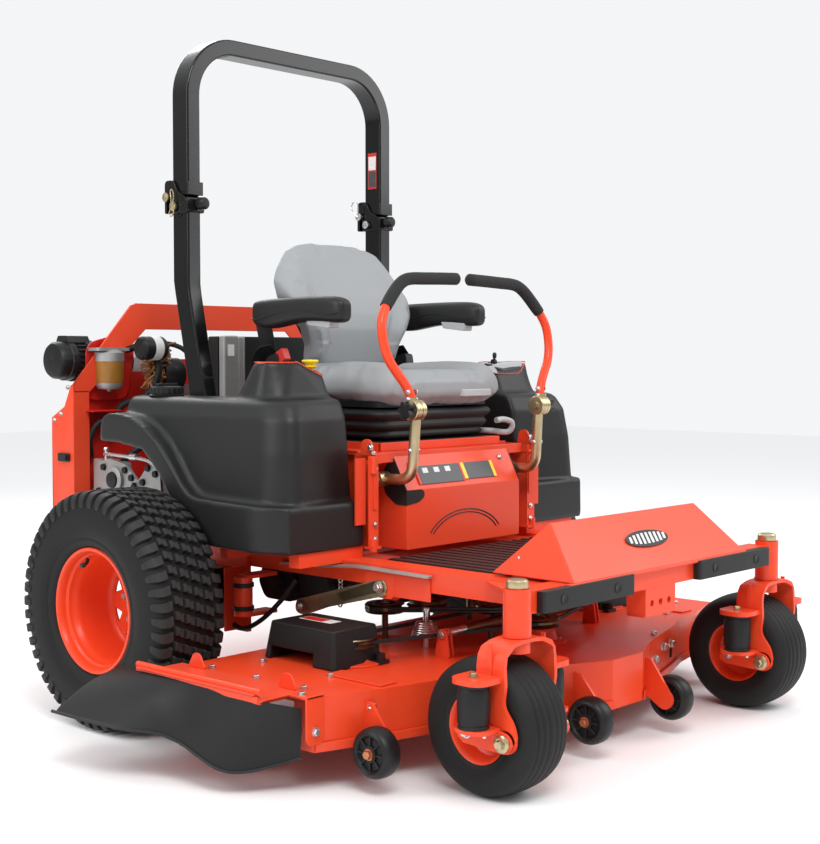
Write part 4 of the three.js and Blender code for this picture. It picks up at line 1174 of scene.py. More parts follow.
def seat_back():
    shape = Shape()
    shape.loft(back_pad_rings())
    mesh = pad_mesh(shape, 7, 4.0, 14)
    for vertex in mesh.vertices:
        x, y, z = machine_point(vertex)
        limit = 118 + 55 * bell(z - 1215, 120) if z > 1060 else 118 + 0.1 * (1060 - z)
        wing = eased((abs(x) - limit) / 60)
        fade = unit((1330 - z) / 120) * unit((z - 930) / 90)
        rise = 18 + 20 * bell(z - 1140, 90)
        seam = 5 * bell(abs(x) - limit, 6)
        vertex.co.y -= unit((-20 - y) / 40) * fade * (rise * wing - seam) * MM
    dress_pad(mesh, "seat_back_cover", "backrest", ["seat_back"])
    shell = Shape()
    rings = []
    for z in (940, 1000, 1080, 1150, 1220, 1290, 1330):
        w = (along(BACK_WIDTH, z) - 46) * (1 - rear_taper(z))
        y = along(BACK_REAR, z)
        rings.append([(x, yy, z) for x, yy in rounded_section(w, y - 12, y + 9, 4, 32)])
    shell.loft(rings)
    shell.build("seat_back_shell", panel_black, "backrest", bevel=0, subdivide=1)


def seat_boot():
    """The folded rubber boot round the seat's suspension; each fold is (height, half width)."""
    bellows = Shape()
    rings = []
    folds = [(776, 214), (786, 232), (796, 238), (804, 226), (812, 242), (824, 250), (834, 236), (842, 250),
             (854, 258), (866, 250), (871, 236)]
    for z, w in folds:
        front, rear = -240 - w * 0.88, -240 + w * 0.82
        outline = rounded([(-w, front), (w, front), (w, rear), (-w, rear)], 48, 8)
        rings.append([(x, y, z) for x, y in outline])
    bellows.loft(rings)
    bellows.build("seat_suspension_boot", rubber, "frame", bevel=0, angle=60, subdivide=1,
                  stands_for=["seat_base"])


def seat_belt():
    belt = Shape()
    for side in (RIGHT, LEFT):
        belt.prism("x", rounded([(-96, 944), (-20, 930), (10, 962), (-40, 1020), (-80, 1030)], 14, 5),
                   side * 262, side * 296)
        belt.tube(smooth_path([(side * 282, 10, 940), (side * 286, 20, 990), (side * 290, -10, 1030),
                               (side * 288, -60, 1040)], 5), 9, 6, flat=(40, 3))
    belt.build("seat_belt_reels", panel_black, "seat", bevel=3, rings=3)
    buckle = Shape()
    buckle.prism("x", rounded([(-112, 1010), (-80, 996), (-66, 1030), (-96, 1044)], 5), -268, -292)
    buckle.build("seat_belt_button", label_red, "seat", bevel=2)


def seat_mount():
    seat_boot()
    plate = Shape()
    plate.prism("z", rounded([(-236, -462), (236, -462), (236, -44), (-236, -44)], 26), 756.5, 778)
    plate.build("seat_mount_plate", panel_black, "frame", bevel=5, rings=3)
    handle = Shape()
    loop = [(236, -400, 792), (262, -440, 790), (296, -474, 786), (306, -486, 800), (300, -488, 818),
            (272, -480, 826), (240, -478, 824)]
    handle.tube(smooth_path(loop), 9, 14)
    handle.build("seat_slide_handle", grey_plastic, "frame", bevel=0)
    seat_belt()


ARMREST_X, ARMREST_HALF = 299, 29


def armrest(side, hand):
    # place along the machine, shift from the armrest's middle, half width, bottom and top
    stations = [(8, -2, 19, 1122, 1176), (0, -2, 26, 1110, 1184), (-40, -1, 28, 1100, 1187),
                (-90, 0, 29, 1101, 1189), (-140, 1, 29, 1110, 1190), (-200, 1, 29, 1118, 1191),
                (-260, 0, 29, 1119, 1191), (-320, -1, 29, 1114, 1190), (-350, -2, 28, 1112, 1186),
                (-368, -3, 24, 1116, 1178), (-374, -3, 15, 1126, 1168)]
    pad = Shape()
    pad.loft([[(side * (ARMREST_X + shift + x), y, z) for x, z in rounded_section(w, low, high, 3.4, 32)]
              for y, shift, w, low, high in stations])
    pad.build(f"armrest_pad_{hand}", plastic, f"arm_{hand}", bevel=0, subdivide=2, angle=60,
              stands_for=[f"armrest_{hand}"])
    seam = Shape()
    line = [(-362, 1140), (-320, 1136), (-260, 1146), (-180, 1154), (-100, 1142), (-30, 1128), (0, 1130)]
    for edge in (-1, 1):
        x = side * ARMREST_X + edge * ARMREST_HALF
        seam.tube(smooth_path([(x, y, z) for y, z in line], 6), 1.6, 8)
    seam.build(f"armrest_seam_{hand}", panel_black, f"arm_{hand}", bevel=0)
    wedge = Shape()
    wedge.prism("x", rounded([(-322, 1124), (-222, 1130), (-230, 1108), (-318, 1098)], 6), side * 274,
                side * 314)
    wedge.build(f"armrest_wedge_{hand}", grey_plastic, f"arm_{hand}", bevel=2)
    bracket = Shape()
    bracket.tube([(side * 262, -4, 1000), (side * 264, 0, 1060), (side * 276, 2, 1120)], 9, 8, flat=(46, 12))
    bracket.disc("x", 16, side * 252, side * 264, (0, -12, 1147), 24)
    bracket.build(f"armrest_bracket_{hand}", panel_black, "backrest", bevel=2)


# ---- body panels ---------------------------------------------------------------------------
TOWER_HALF, TOWER_FRONT, TOWER_FOOT, TOWER_KNEE = 250, -560, 482, 648


def tower_sheet():
    """The folded front panel, its sloped top, its cheeks and the ledge under the seat."""
    panel = Shape()
    face = rounded([(-TOWER_HALF, TOWER_FOOT), (TOWER_HALF, TOWER_FOOT), (TOWER_HALF, TOWER_KNEE),
                    (-TOWER_HALF, TOWER_KNEE)], [4, 4, 2, 2])
    panel.prism("y", face, TOWER_FRONT, TOWER_FRONT + 4)
    slope = [(-TOWER_HALF, -558.5, 647), (TOWER_HALF, -558.5, 647), (TOWER_HALF, -507, 745),
             (-TOWER_HALF, -507, 745)]
    panel.loft([slope, [(x, y + 4, z - 3) for x, y, z in slope]])
    cheek = [(-557, TOWER_FOOT), (-557, 647), (-506, 744), (-448, 744), (-448, TOWER_FOOT)]
    for side in (RIGHT, LEFT):
        panel.prism("x", cheek, side * 245, side * 249.4)
    panel.box(-326, 326, -506, -446, 746, 752)
    panel.box(-326, 326, -510, -505, 724, 752)
    panel.box(-326, 326, -446, -400, 744, 757)
    panel.build("control_tower_sheet", paint, "frame", bevel=1.6, stands_for=["control_tower"])


def tower_posts():
    posts = Shape()
    lug = rounded([(-548, 748), (-496, 748), (-506, 792), (-536, 792)], 14, 6)
    for side in (RIGHT, LEFT):
        posts.box(side * 330, side * 334, -524, -440, 492, 748)
        posts.box(side * 330, side * 366, -528, -523, 492, 748)
        posts.box(side * 366, side * 404, -514, -509, 560, 742)
        posts.box(side * 326, side * 362, -536, -506, 726, 734)
        posts.box(side * 326, side * 362, -536, -506, 492, 499)
        posts.prism("x", [(y + 20, z) for y, z in lug], side * 344, side * 350)
        posts.disc("z", 10, 700, 748, (side * 352, -530, 0), 20)
        posts.disc("z", 10, 486, 520, (side * 352, -530, 0), 20)
        strap = [(side * 334, 600), (side * 352, 600), (side * 352, 720), (side * 334, 720)]
        posts.prism("y", rounded(strap, 4), -532, -528)
    posts.build("tower_hinge_posts", paint, "frame", bevel=1.6)
    rails = Shape()
    for side in (RIGHT, LEFT):
        rails.box(side * 250, side * 262, -470, -60, 752, 776)
    rails.box(-262, 262, -474, -462, 752, 776)
    rails.build("seat_platform_rails", paint, "frame", bevel=2)


def tower_slot_shade():
    """Painted shade: dark faces laid over the lever slots stand for the shade inside them; the slots are not
    cut.
    """
    holes = Shape()
    front = rounded([(-252, 606), (-200, 612), (-178, 626), (-178, 640), (-190, 647.6), (-252, 647.6)],
                    [1, 14, 12, 8, 4, 1])
    holes.prism("y", front, -561.4, -560.3)
    cheek = rounded([(-561, 606), (-520, 606), (-476, 636), (-470, 700), (-500, 736), (-512, 736),
                     (-561, 648)], [1, 10, 14, 20, 14, 4, 1])
    for side in (RIGHT, LEFT):
        holes.prism("x", cheek, side * 249.6, side * 251.6)
    holes.build("tower_slot_shade", panel_black, "frame", bevel=0)


def tower_bolts():
    bolts = Shape()
    for side in (RIGHT, LEFT):
        for z in (712, 560, 520):
            bolts.bolt((side * 344, -529, z), "y", 6, -1)
        bolts.bolt((side * 352, -520, 770), "x", 8, -1)
        bolts.bolt((side * 352, -530, 752), "z", 7)
        bolts.bolt((side * 200, -522, 716), "y", 7, -1)
    bolts.build("tower_bolts", silver, "frame", bevel=0.5)


def on_slope(x, up):
    """A point on the tower's sloped top, from 0 at its front edge to 1 at its rear edge."""
    return x, -560.6 + 52 * up, 648 + 98 * up


def tower_labels():
    """Blank label plates and bars: (from x, to x, from, to up the slope)."""
    labels = (
        ("tower_label_panels", label_grey, 1.2, 0.6, [(-178, 0, 0.12, 0.62), (8, 150, 0.16, 0.62)]),
        ("tower_label_red", label_red, 1.7, 0.9, [(-190, -180, 0.12, 0.62), (0, 7, 0.12, 0.62)]),
        ("tower_label_yellow", yellow, 1.7, 0.9, [(8, 22, 0.16, 0.62), (140, 152, 0.16, 0.62)]),
        ("tower_label_white", label_white, 1.7, 0.9, [(x, x + 22, 0.42, 0.56) for x in (-160, -112, -64)]))
    for name, material, out, up, bars in labels:
        label = Shape()
        for x0, x1, t0, t1 in bars:
            quad = [on_slope(x0, t0), on_slope(x1, t0), on_slope(x1, t1), on_slope(x0, t1)]
            label.loft([[(x, y - out, z + up) for x, y, z in quad], quad])
        label.build(name, material, "frame", bevel=0)
    badge = Shape()
    for radius in (150, 138):
        turns = [math.radians(-62 + 124 * k / 30) for k in range(31)]
        badge.tube([(radius * 1.15 * math.sin(a), -560.8, 470 + radius * 0.72 * math.cos(a)) for a in turns],
                   1.6, 6)
    badge.build("tower_embossed_arcs", panel_black, "frame", bevel=0)


def control_tower():
    tower_sheet()
    tower_posts()
    tower_slot_shade()
    tower_bolts()
    tower_labels()


def on_footrest(u, v):
    """A point on the footrest's front slope, from the badge's middle."""
    return u, -1179.7 + v * 0.687, 545.6 + v * 0.726


def raised(points, out, up):
    return [(x, y - out, z + up) for x, y, z in points]


def footrest():
    wedge = Shape()
    front_low, rear_low, crest = -1240, -978, -1115
    corners = [(-400, front_low, 478), (400, front_low, 478), (332, crest, 610), (-332, crest, 610),
               (-392, rear_low, 478), (392, rear_low, 478)]
    wedge.shell(corners, [(0, 1, 2, 3), (3, 2, 5, 4), (0, 3, 4), (1, 5, 2), (0, 4, 5, 1)])
    wedge.box(-412, 412, front_low, -1224, 470, 479)
    wedge.build("footrest_wedge", paint, "frame", bevel=4, rings=3, angle=20, stands_for=["footrest_panel"])
    screws = Shape()
    for side in (RIGHT, LEFT):
        screws.lathe("x", [(0, side * 371), (5, side * 371), (4, side * 374), (0, side * 375)],
                     (0, -1050, 520), 16)
    screws.build("footrest_screws", silver, "frame", bevel=0)
    badge = Shape()
    turns = [2 * math.pi * k / 48 for k in range(48)]
    ring = [on_footrest(96 * math.cos(a), 26 * math.sin(a)) for a in turns]
    badge.loft([ring, raised(ring, 0.9, 0.8)])
    badge.build("footrest_badge", panel_black, "frame", bevel=0)
    stripes = Shape()
    for k in range(-4, 5):
        u = k * 19
        high = 17 * math.sqrt(1 - (u / 92) ** 2)
        lean = high * 0.3
        quad = [on_footrest(u - 6 - lean, -high), on_footrest(u + 4 - lean, -high),
                on_footrest(u + 6 + lean, high), on_footrest(u - 4 + lean, high)]
        stripes.loft([raised(quad, 1.2, 1.1), raised(quad, 1.9, 1.7)])
    stripes.build("footrest_badge_stripes", label_white, "frame", bevel=0)


def foot_mat():
    mat = Shape()
    mat.prism("z", rounded([(-352, -976), (352, -976), (352, -564), (-352, -564)], 8), 460.4, 466)
    for k in range(-8, 9):
        x = k * 41
        rib = rounded([(x - 11, -962), (x + 11, -962), (x + 11, -576), (x - 11, -576)], 5)
        mat.prism("z", rib, 465, 470.5)
    mat.build("foot_mat_ribbed", mat_rubber, "frame", bevel=1, stands_for=["foot_mat"])


def bumper(side, hand):
    pad = Shape()
    outline = rounded([(side * 154, -1248), (side * 528, -1248), (side * 528, -1225.5),
                       (side * 154, -1225.5)],
                      [9, 9, 2, 2], 5)
    pad.prism("z", outline, 425, 476)
    pad.build(f"bumper_pad_{hand}", rubber, "frame", bevel=3, rings=3,
              stands_for=[f"front_bumper_pad_{hand}"])
    holes = Shape()
    for x in (230, 450):
        holes.lathe("y", [(0, -1248.6), (11, -1248.6), (13, -1249.6), (13, -1247), (0, -1247)],
                    (side * x, 0, 450), 24)
    holes.build(f"bumper_screws_{hand}", panel_black, "frame", bevel=0.5)


MOUNT_X, MOUNT_Y = 556, -225


def frame_brackets():
    """Caster collars, gussets and the brackets along each rail."""
    parts = Shape()
    link_bracket = rounded([(-700, 462), (-700, 384), (-592, 384), (-592, 462)], [2, 26, 26, 2], 6)
    motor_plate = rounded([(-120, 240), (120, 240), (120, 410), (-120, 410)], 20)
    for side in (RIGHT, LEFT):
        x = side * CASTER_X
        parts.lathe("z", [(17, 379), (33, 379), (33, 487), (17, 487)], (x, CASTER_Y, 0), 48)
        parts.lathe("z", [(17, 376.5), (35, 376.5), (35, 379), (17, 379)], (x, CASTER_Y, 0), 40)
        gusset = [(side * 440, -1165), (side * 440, -1010), (side * 452, -1010), (side * 548, -1165)]
        parts.prism("z", gusset, 462, 468)
        parts.box(side * 441, side * 446, -820, -640, 392, 462)
        parts.prism("x", link_bracket, side * 441, side * 447)
        parts.box(side * 448, side * 540, -36, 36, 250, 262)
        parts.box(side * 448, side * 540, -130, -122, 240, 420)
        parts.prism("x", motor_plate, side * 452, side * 460)
        parts.disc("z", 26, 300, 408, (side * MOUNT_X, MOUNT_Y, 0), 32)
        parts.box(side * 452, side * 560, -250, -200, 404, 414)
        parts.box(side * 452, side * 560, -250, -200, 298, 308)
    parts.box(-70, 70, -1216, -1168, 350, 358)
    parts.build("frame_brackets", paint, "frame", bevel=1.8)


def frame_details():
    keep_node("frame_weldment", paint, 2.2)
    frame_brackets()
    bands, links, hoses = Shape(), Shape(), Shape()
    for side in (RIGHT, LEFT):
        for z in (322, 386):
            bands.lathe("z", [(25, z - 6), (30, z - 6), (30, z + 6), (25, z + 6)],
                        (side * MOUNT_X, MOUNT_Y, 0), 32)
        links.tube([(side * 455, -270, 442), (side * 455, -420, 448), (side * 455, -575, 461),
                    (side * 455, -829, 458)], 10, 4, flat=(7, 20))
        hoses.tube(smooth_path([(side * 506, -100, 265), (side * 512, -170, 250), (side * 504, -240, 282),
                                (side * 484, -300, 341), (side * 462, -340, 400)], 8), 7, 12)
    bands.build("frame_mount_bushings", rubber, "frame", bevel=1)
    links.build("brake_link_bars", raw_steel, "frame", bevel=1)
    hoses.build("drive_hoses", rubber, "frame", bevel=0)


# ---- mowing deck ---------------------------------------------------------------------------
HANGERS = ((-330, -770), (330, -770), (-445, -350), (445, -350))
WALL_BOLTS = ((-742, -897), (-380, -1012), (380, -1012), (742, -897))


def deck_strip():
    """The flat bar that follows the front wall of the deck."""
    strip = Shape()
    line = [(880, -853), (700, -908), (543, -944), (430, -988), (191, -1068), (70, -1127)]
    for side in (RIGHT, LEFT):
        for (xa, ya), (xb, yb) in zip(line, line[1:]):
            run = [(side * xa, ya, 100), (side * xb, yb, 100), (side * xb, yb, 122), (side * xa, ya, 122)]
            strip.loft([run, [(x, y - 5, z) for x, y, z in run]])
    strip.build("deck_reinforcing_strip", paint, "deck", bevel=1.5)


def deck_brackets():
    details = Shape()
    chute = rounded([(-1006, -800), (-862, -800), (-862, -342), (-1006, -342)], [10, 2, 2, 10], 5)
    details.prism("z", chute, 229, 234)
    details.box(-1010, -1004, -798, -344, 228, 244)
    for y in (-756, -420):
        lug = rounded([(y - 34, 234), (y + 34, 234), (y + 12, 272), (y - 12, 272)], 10)
        details.prism("x", lug, -880, -875)
    bracket = rounded([(-905, -858), (-858, -858), (-858, -850), (-905, -850)], 2)
    details.prism("z", bracket, 140, 236)
    tab = rounded([(-916, 236), (-858, 236), (-858, 128), (-872, 120), (-902, 120), (-916, 132)],
                  [4, 4, 10, 10, 10, 10])
    details.prism("y", tab, -862, -857)
    details.prism("z", rounded([(-916, -862), (-858, -862), (-858, -800), (-916, -800)], 4), 229, 235)
    for x, y in HANGERS:
        arm = rounded([(y - 26, 226), (y + 26, 226), (y + 14, 302), (y - 14, 302)], 12, 6)
        for dx in (-8, 8):
            details.prism("x", arm, x + dx - 3, x + dx + 3)
    for side in (RIGHT, LEFT):
        gusset = [(side * 700, -890), (side * 640, -890), (side * 640, -700), (side * 700, -700)]
        details.prism("z", rounded(gusset, 6), 228.5, 233)
    details.prism("z", rounded([(-220, -560), (220, -560), (300, -370), (-300, -370)], 20), 228.5, 236)
    details.build("deck_brackets", paint, "deck", bevel=1.6)


CHUTE_EDGE_X = -850


def deck_bolts():
    bolts = Shape()
    for x, y in ((-838, -770), (-838, -600), (-838, -430), (-980, -770), (-980, -420), (-900, -830),
                 (-700, -470), (-700, -720), (300, -1010), (600, -860), (780, -780)):
        bolts.bolt((x, y, 234 if x < CHUTE_EDGE_X else 228.5), "z", 8)
    for x, y in WALL_BOLTS:
        bolts.bolt((x, y - 2, 190), "y", 11, -1)
    bolts.bolt((-888, -862, 152), "y", 9, -1)
    for x, y, z in ((330, -1021, 190), (240, -1051, 172), (150, -1088, 150), (-240, -1051, 186)):
        bolts.bolt((x, y, z), "y", 11, -1)
    for _, x, y in SPINDLES:
        for k in range(4):
            angle = math.pi / 4 + k * math.pi / 2
            bolts.bolt((x + 62 * math.cos(angle), y + 62 * math.sin(angle), 228), "z", 8)
    for x, y in HANGERS:
        bolts.disc("x", 7, x - 20, x + 20, (0, y, 286), 18)
        bolts.bolt((x - 14, y, 286), "x", 9, -1)
        bolts.bolt((x + 14, y, 286), "x", 9, 1)
    bolts.build("deck_bolts", silver, "deck", bevel=0.5)


def deck():
    keep_node("deck_shell", paint, 3)
    deck_strip()
    deck_brackets()
    deck_bolts()
    # painted shade: black slot shapes on the deck's front wall stand for the shade inside the slots, which
    # are not cut
    slots = Shape()
    for x, y in WALL_BOLTS:
        slot = rounded([(x - 5, 150), (x + 5, 150), (x + 5, 178), (x - 5, 178)], 4)
        slots.prism("y", slot, y - 4.5, y - 2)
    slots.build("deck_slot_shade", panel_black, "deck", bevel=0)
    housings = Shape()
    for _, x, y in SPINDLES:
        housings.lathe("z", [(20, 228), (84, 228), (84, 234), (58, 236), (50, 262), (46, 268), (20, 268)],
                       (x, y, 0), 44)
    housings.build("spindle_housings", paint, "deck", bevel=1.5)


IDLER_SPRING = (-281, -659)
# place and radius of each pulley that guides the belt on top of the deck
IDLERS = ((-296, -520, 52), (-143, -539, 56), (-97, -737, 46), (150, -640, 56), (90, -500, 40))


def transmissions():
    """The dark machinery that hangs between the frame rails and above the deck."""
    dark = Shape()
    for side in (RIGHT, LEFT):
        dark.prism("x", rounded([(-300, 330), (-180, 330), (-150, 380), (-180, 440), (-290, 440)], 20, 5),
                   side * 436, side * 250)
        dark.prism("x", rounded([(-440, 360), (-320, 350), (-310, 420), (-420, 430)], 14, 5),
                   side * 430, side * 330)
        dark.disc("y", 34, -430, -180, (side * 300, 0, 376), 28)
        dark.disc("x", 26, side * 250, side * 452, (0, -240, 384), 28)
    dark.disc("z", 70, 352, 392, (0, -300, 0), 44)
    dark.disc("z", 92, 396, 408, (0, -300, 0), 44)
    dark.prism("z", rounded([(-250, -330), (250, -330), (250, -150), (-250, -150)], 30), 372, 440)
    dark.build("transmission_housings", panel_black, "frame", bevel=3, rings=3)


def under_frame():
    transmissions()
    hoses = Shape()
    for side in (RIGHT, LEFT):
        for k in range(4):
            path = [(side * (250 + 22 * k), -140, 420), (side * (270 + 24 * k), -240, 352 - 8 * k),
                    (side * (250 + 26 * k), -380, 360 + 10 * k), (side * (210 + 24 * k), -470, 410)]
            hoses.tube(smooth_path(path, 8), 8, 12)
        path = [(side * 380, -330, 430), (side * 384, -400, 380), (side * 380, -470, 400)]
        hoses.tube(smooth_path(path, 8), 9, 12)
    hoses.build("transmission_hoses", rubber, "frame", bevel=0)
    chain = Shape()
    for side in (RIGHT, LEFT):
        for k in range(9):
            chain.lathe("x" if k % 2 else "y", [(5, -1.6), (8, -1.6), (8, 1.6), (5, 1.6)],
                        (side * 420, -470, 430 - 11 * k), 14)
    chain.build("deck_hang_chains", silver, "frame", bevel=0)


def spindles():
    for where, x, y in SPINDLES:
        wheel = Shape()
        groove = [(14, 272), (64, 272), (66, 275), (56, 281), (56, 287), (66, 293), (64, 296), (40, 296),
                  (34, 290), (14, 290)]
        wheel.lathe("z", groove, (x, y, 0), 56)
        wheel.lathe("z", [(0, 290), (26, 290), (26, 297), (14, 300), (14, 310), (0, 310)], (x, y, 0), 36)
        wheel.lathe("z", [(0, 115.5), (30, 115.5), (30, 128), (14, 132), (14, 272), (0, 272)], (x, y, 0), 36)
        wheel.build(f"pulley_{where}", bronze, f"spindle_{where}", bevel=0.8,
                    stands_for=[f"spindle_pulley_{where}"])
        keep_node(f"blade_{where}", gloss_black, 1.2)


def idlers_and_belt():
    keep_node("deck_belt", rubber, 0)
    idlers = Shape()
    for x, y, r in IDLERS:
        groove = [(6, 312), (r, 312), (r + 3, 315), (r - 5, 320), (r - 5, 330), (r + 3, 335), (r, 338),
                  (r * 0.6, 338), (r * 0.5, 330), (6, 330)]
        idlers.lathe("z", groove, (x, y, 0), 48)
        idlers.disc("z", 9, 236, 346, (x, y, 0), 20)
    idlers.build("idler_pulleys", bronze, "deck", bevel=0.8)
    tops = Shape()
    for x, y, _ in IDLERS:
        tops.bolt((x, y, 338), "z", 9)
    tops.build("idler_bolts", silver, "deck", bevel=0.5)
    belts = Shape()
    for z in (321, 329):
        loop = smooth_path([(-350, -520, z), (-300, -464, z), (-140, -478, z), (90, -458, z), (206, -640, z),
                            (150, -700, z), (0, -640, z), (-97, -786, z), (-240, -640, z),
                            (-350, -520, z)], 8)
        belts.tube(loop, 8, 6, flat=(6, 12))
    belts.build("drive_belt_upper", rubber, "deck", bevel=0)
    spring = Shape()
    x, y = IDLER_SPRING
    for k in range(7):
        radius, z = 38 - 2 * k, 262 + 6 * k
        spring.tube([(x + radius * math.cos(a), y + radius * math.sin(a), z)
                     for a in (2 * math.pi * k / 40 for k in range(41))], 2, 8)
    spring.disc("z", 8, 229, 330, (x, y, 0), 20)
    spring.bolt((x, y, 330), "z", 9)
    spring.build("idler_spring", silver, "deck", bevel=0)


def spindle_cover(side, hand):
    """A sloped hood over an outer pulley, with a window for the belt in its inner face."""
    x0, x1, y0, y1 = 486, 664, -696, -426
    hood = Shape()
    top = rounded([(side * (x0 + 8), y0 + 14), (side * (x1 - 14), y0 + 14), (side * (x1 - 14), y1 - 14),
                   (side * (x0 + 8), y1 - 14)], 14)
    low = rounded([(side * x0, y0), (side * x1, y0), (side * x1, y1), (side * x0, y1)], 16)
    hood.loft([[(x, y, 229) for x, y in low], [(x, y, 327) for x, y in top]])
    window = Shape()
    window.box(side * (x0 + 18), side * (x1 + 20), y0 + 84, y1 - 26, 210, 262)
    opened = combined(temporary(hood), [temporary(window)], "DIFFERENCE")
    hood_mesh = opened.data
    bpy.data.objects.remove(opened)
    dress(hood_mesh, f"spindle_cover_box_{hand}", panel_black, "deck", bevel=5, rings=3,
          stands_for=[f"spindle_cover_{hand}"])
    foot = Shape()
    foot.box(side * (x0 + 4), side * (x0 + 44), y0 - 26, y0 + 4, 229, 238)
    foot.disc("z", 13, 236, 256, (side * (x0 + 26), y0 - 13, 0), 20)
    foot.build(f"spindle_cover_foot_{hand}", panel_black, "deck", bevel=1.5, rings=2)
    label = Shape()
    plate = rounded([(side * 540, -596), (side * 580, -596), (side * 580, -476), (side * 540, -476)], 3)
    label.prism("z", plate, 326.6, 327.6)
    label.build(f"cover_label_{hand}", label_white, "deck", bevel=0)
    strip = Shape()
    strip.box(side * 543, side * 577, -560, -480, 327.4, 328)
    strip.build(f"cover_label_strip_{hand}", label_red, "deck", bevel=0)


def lift_linkage():
    arm = Shape()
    outline = rounded([(-676, 402), (-670, 430), (-640, 432), (-500, 384), (-380, 348), (-326, 344),
                       (-322, 310), (-352, 302), (-400, 318), (-500, 354), (-640, 396)], 16, 5)
    for side in (RIGHT, LEFT):
        arm.prism("x", outline, side * 441, side * 452)
    arm.build("lift_arms", gold_zinc, "lift_shaft", bevel=1.5)
    keep_node("lift_rockshaft", gold_zinc, 1)
    pins = Shape()
    for side in (RIGHT, LEFT):
        pins.bolt((side * 452, -646, 412), "x", 12, side)
        pins.bolt((side * 452, -342, 326), "x", 9, side)
    pins.build("lift_arm_bolts", silver, "lift_shaft", bevel=0.5)
    ends = Shape()
    ends.tube([(-330, -770, 290), (-250, -772, 291)], 11, 16)
    ends.tube([(250, -772, 291), (330, -770, 290)], 11, 16)
    ends.build("lift_strut_ends", silver, "deck", bevel=0)
    sleeve = Shape()
    sleeve.tube([(-252, -772, 291), (-130, -775, 292), (130, -775, 292), (252, -772, 291)],
                [12, 17, 17, 12], 20)
    sleeve.build("lift_strut_sleeve", bronze, "deck", bevel=0)


def drive_line():
    spindles()
    idlers_and_belt()
    for side, hand in HANDS:
        spindle_cover(side, hand)
    lift_linkage()


FLAP_STEPS, FLAP_BULGE, FLAP_THICK = 14, 14, 5.5


def flap():
    """The rubber sheet over the discharge, lofted from its hinge line out to its free edge."""
    hinge_line = [(-1004, -262, 236), (-1006, -340, 240), (-1008, -420, 242), (-1008, -500, 242),
                  (-1008, -570, 242), (-1008, -640, 242), (-1006, -710, 240), (-1004, -762, 238),
                  (-994, -800, 234), (-960, -834, 224), (-912, -846, 210)]
    free_line = [(-1180, -232, 150), (-1157, -345, 141), (-1124, -448, 132), (-1076, -512, 124),
                 (-1050, -570, 106), (-1044, -630, 84), (-1036, -684, 66), (-1016, -722, 59),
                 (-982, -752, 62), (-940, -782, 72), (-900, -826, 90)]
    hinge, edge = smooth_path(hinge_line, 6), smooth_path(free_line, 6)
    rings = []
    for a, b in zip(hinge, edge):
        top = []
        for k in range(FLAP_STEPS + 1):
            t = k / FLAP_STEPS
            point = a.lerp(b, t)
            point.z += FLAP_BULGE * math.sin(math.pi * t) * (1 - 0.3 * t)
            top.append(point)
        bottom = [p - Vector((0, 0, FLAP_THICK)) for p in top]
        rings.append(top + list(reversed(bottom)))
    sheet = Shape()
    sheet.loft(rings)
    sheet.build("discharge_flap_sheet", rubber, "chute", bevel=0, subdivide=1, angle=60,
                stands_for=["discharge_flap"])
    edge_bead = Shape()
    edge_bead.tube([p + Vector((0, 0, -2)) for p in edge], 4.2, 8)
    edge_bead.build("discharge_flap_bead", rubber, "chute", bevel=0)
    clamp = Shape()
    clamp.prism("z", rounded([(-1016, -790), (-1000, -790), (-1000, -352), (-1016, -352)], 3), 246, 250)
    clamp.disc("y", 8, -800, -340, (-1000, 0, 252), 20)
    clamp.build("discharge_flap_clamp", paint, "chute", bevel=1)


# ---- engine bay ----------------------------------------------------------------------------
def rear_guard():
    guard = Shape()
    hoop = [(-345, 1190), (-366, 1182), (-586, 930), (-586, 905), (-526, 905), (-306, 1106), (306, 1106),
            (526, 905), (586, 905), (586, 930), (366, 1182), (345, 1190)]
    guard.prism("y", hoop, 540, 548)
    for side in (RIGHT, LEFT):
        guard.prism("x", [(540, 480), (540, 930), (554, 930), (590, 862), (660, 826), (660, 480)],
                    side * 580, side * 586)
        guard.box(side * 526, side * 584, 540, 546, 470.4, 912)
    guard.box(-584, 584, 652, 658, 480, 800)
    guard.box(-586, 586, 600, 660, 470.4, 480)
    guard.box(-330, 330, 546, 572, 1178, 1186)
    guard.build("rear_guard_hoop", paint, "frame", bevel=2.2, stands_for=["rear_guard"])
    # painted shade: the engine bay's rear panel and the shadowed wing of the guard sheet are drawn in the
    # darker copy of the orange paint
    inner = Shape()
    back = [(-560, 480), (560, 480), (560, 880), (400, 1010), (-400, 1010), (-560, 880)]
    inner.prism("y", rounded(back, 20), 585, 590)
    wing = [(-520, 880), (-360, 880), (-330, 1060), (-400, 1090), (-520, 1060)]
    inner.prism("y", rounded(wing, 40, 6), 566, 571)
    inner.box(-540, -430, 500, 590, 845, 850)
    inner.build("engine_rear_panel", shaded_orange, "frame", bevel=2)
    latch = Shape()
    latch.prism("x", rounded([(560, 690), (618, 690), (618, 716), (560, 716)], 5), -587, -594)
    latch.prism("x", rounded([(566, 694), (586, 694), (586, 712), (566, 712)], 4), -594, -600)
    latch.build("guard_latch", panel_black, "frame", bevel=1.5)
    screws = Shape()
    for y, z in ((566, 922), (604, 838), (640, 818)):
        screws.bolt((-586, y, z), "x", 6, -1)
    screws.build("guard_screws", silver, "frame", bevel=0.4)


CLEANER_Y, CLEANER_Z, CLEANER_CLIPS = 636, 1006, 24


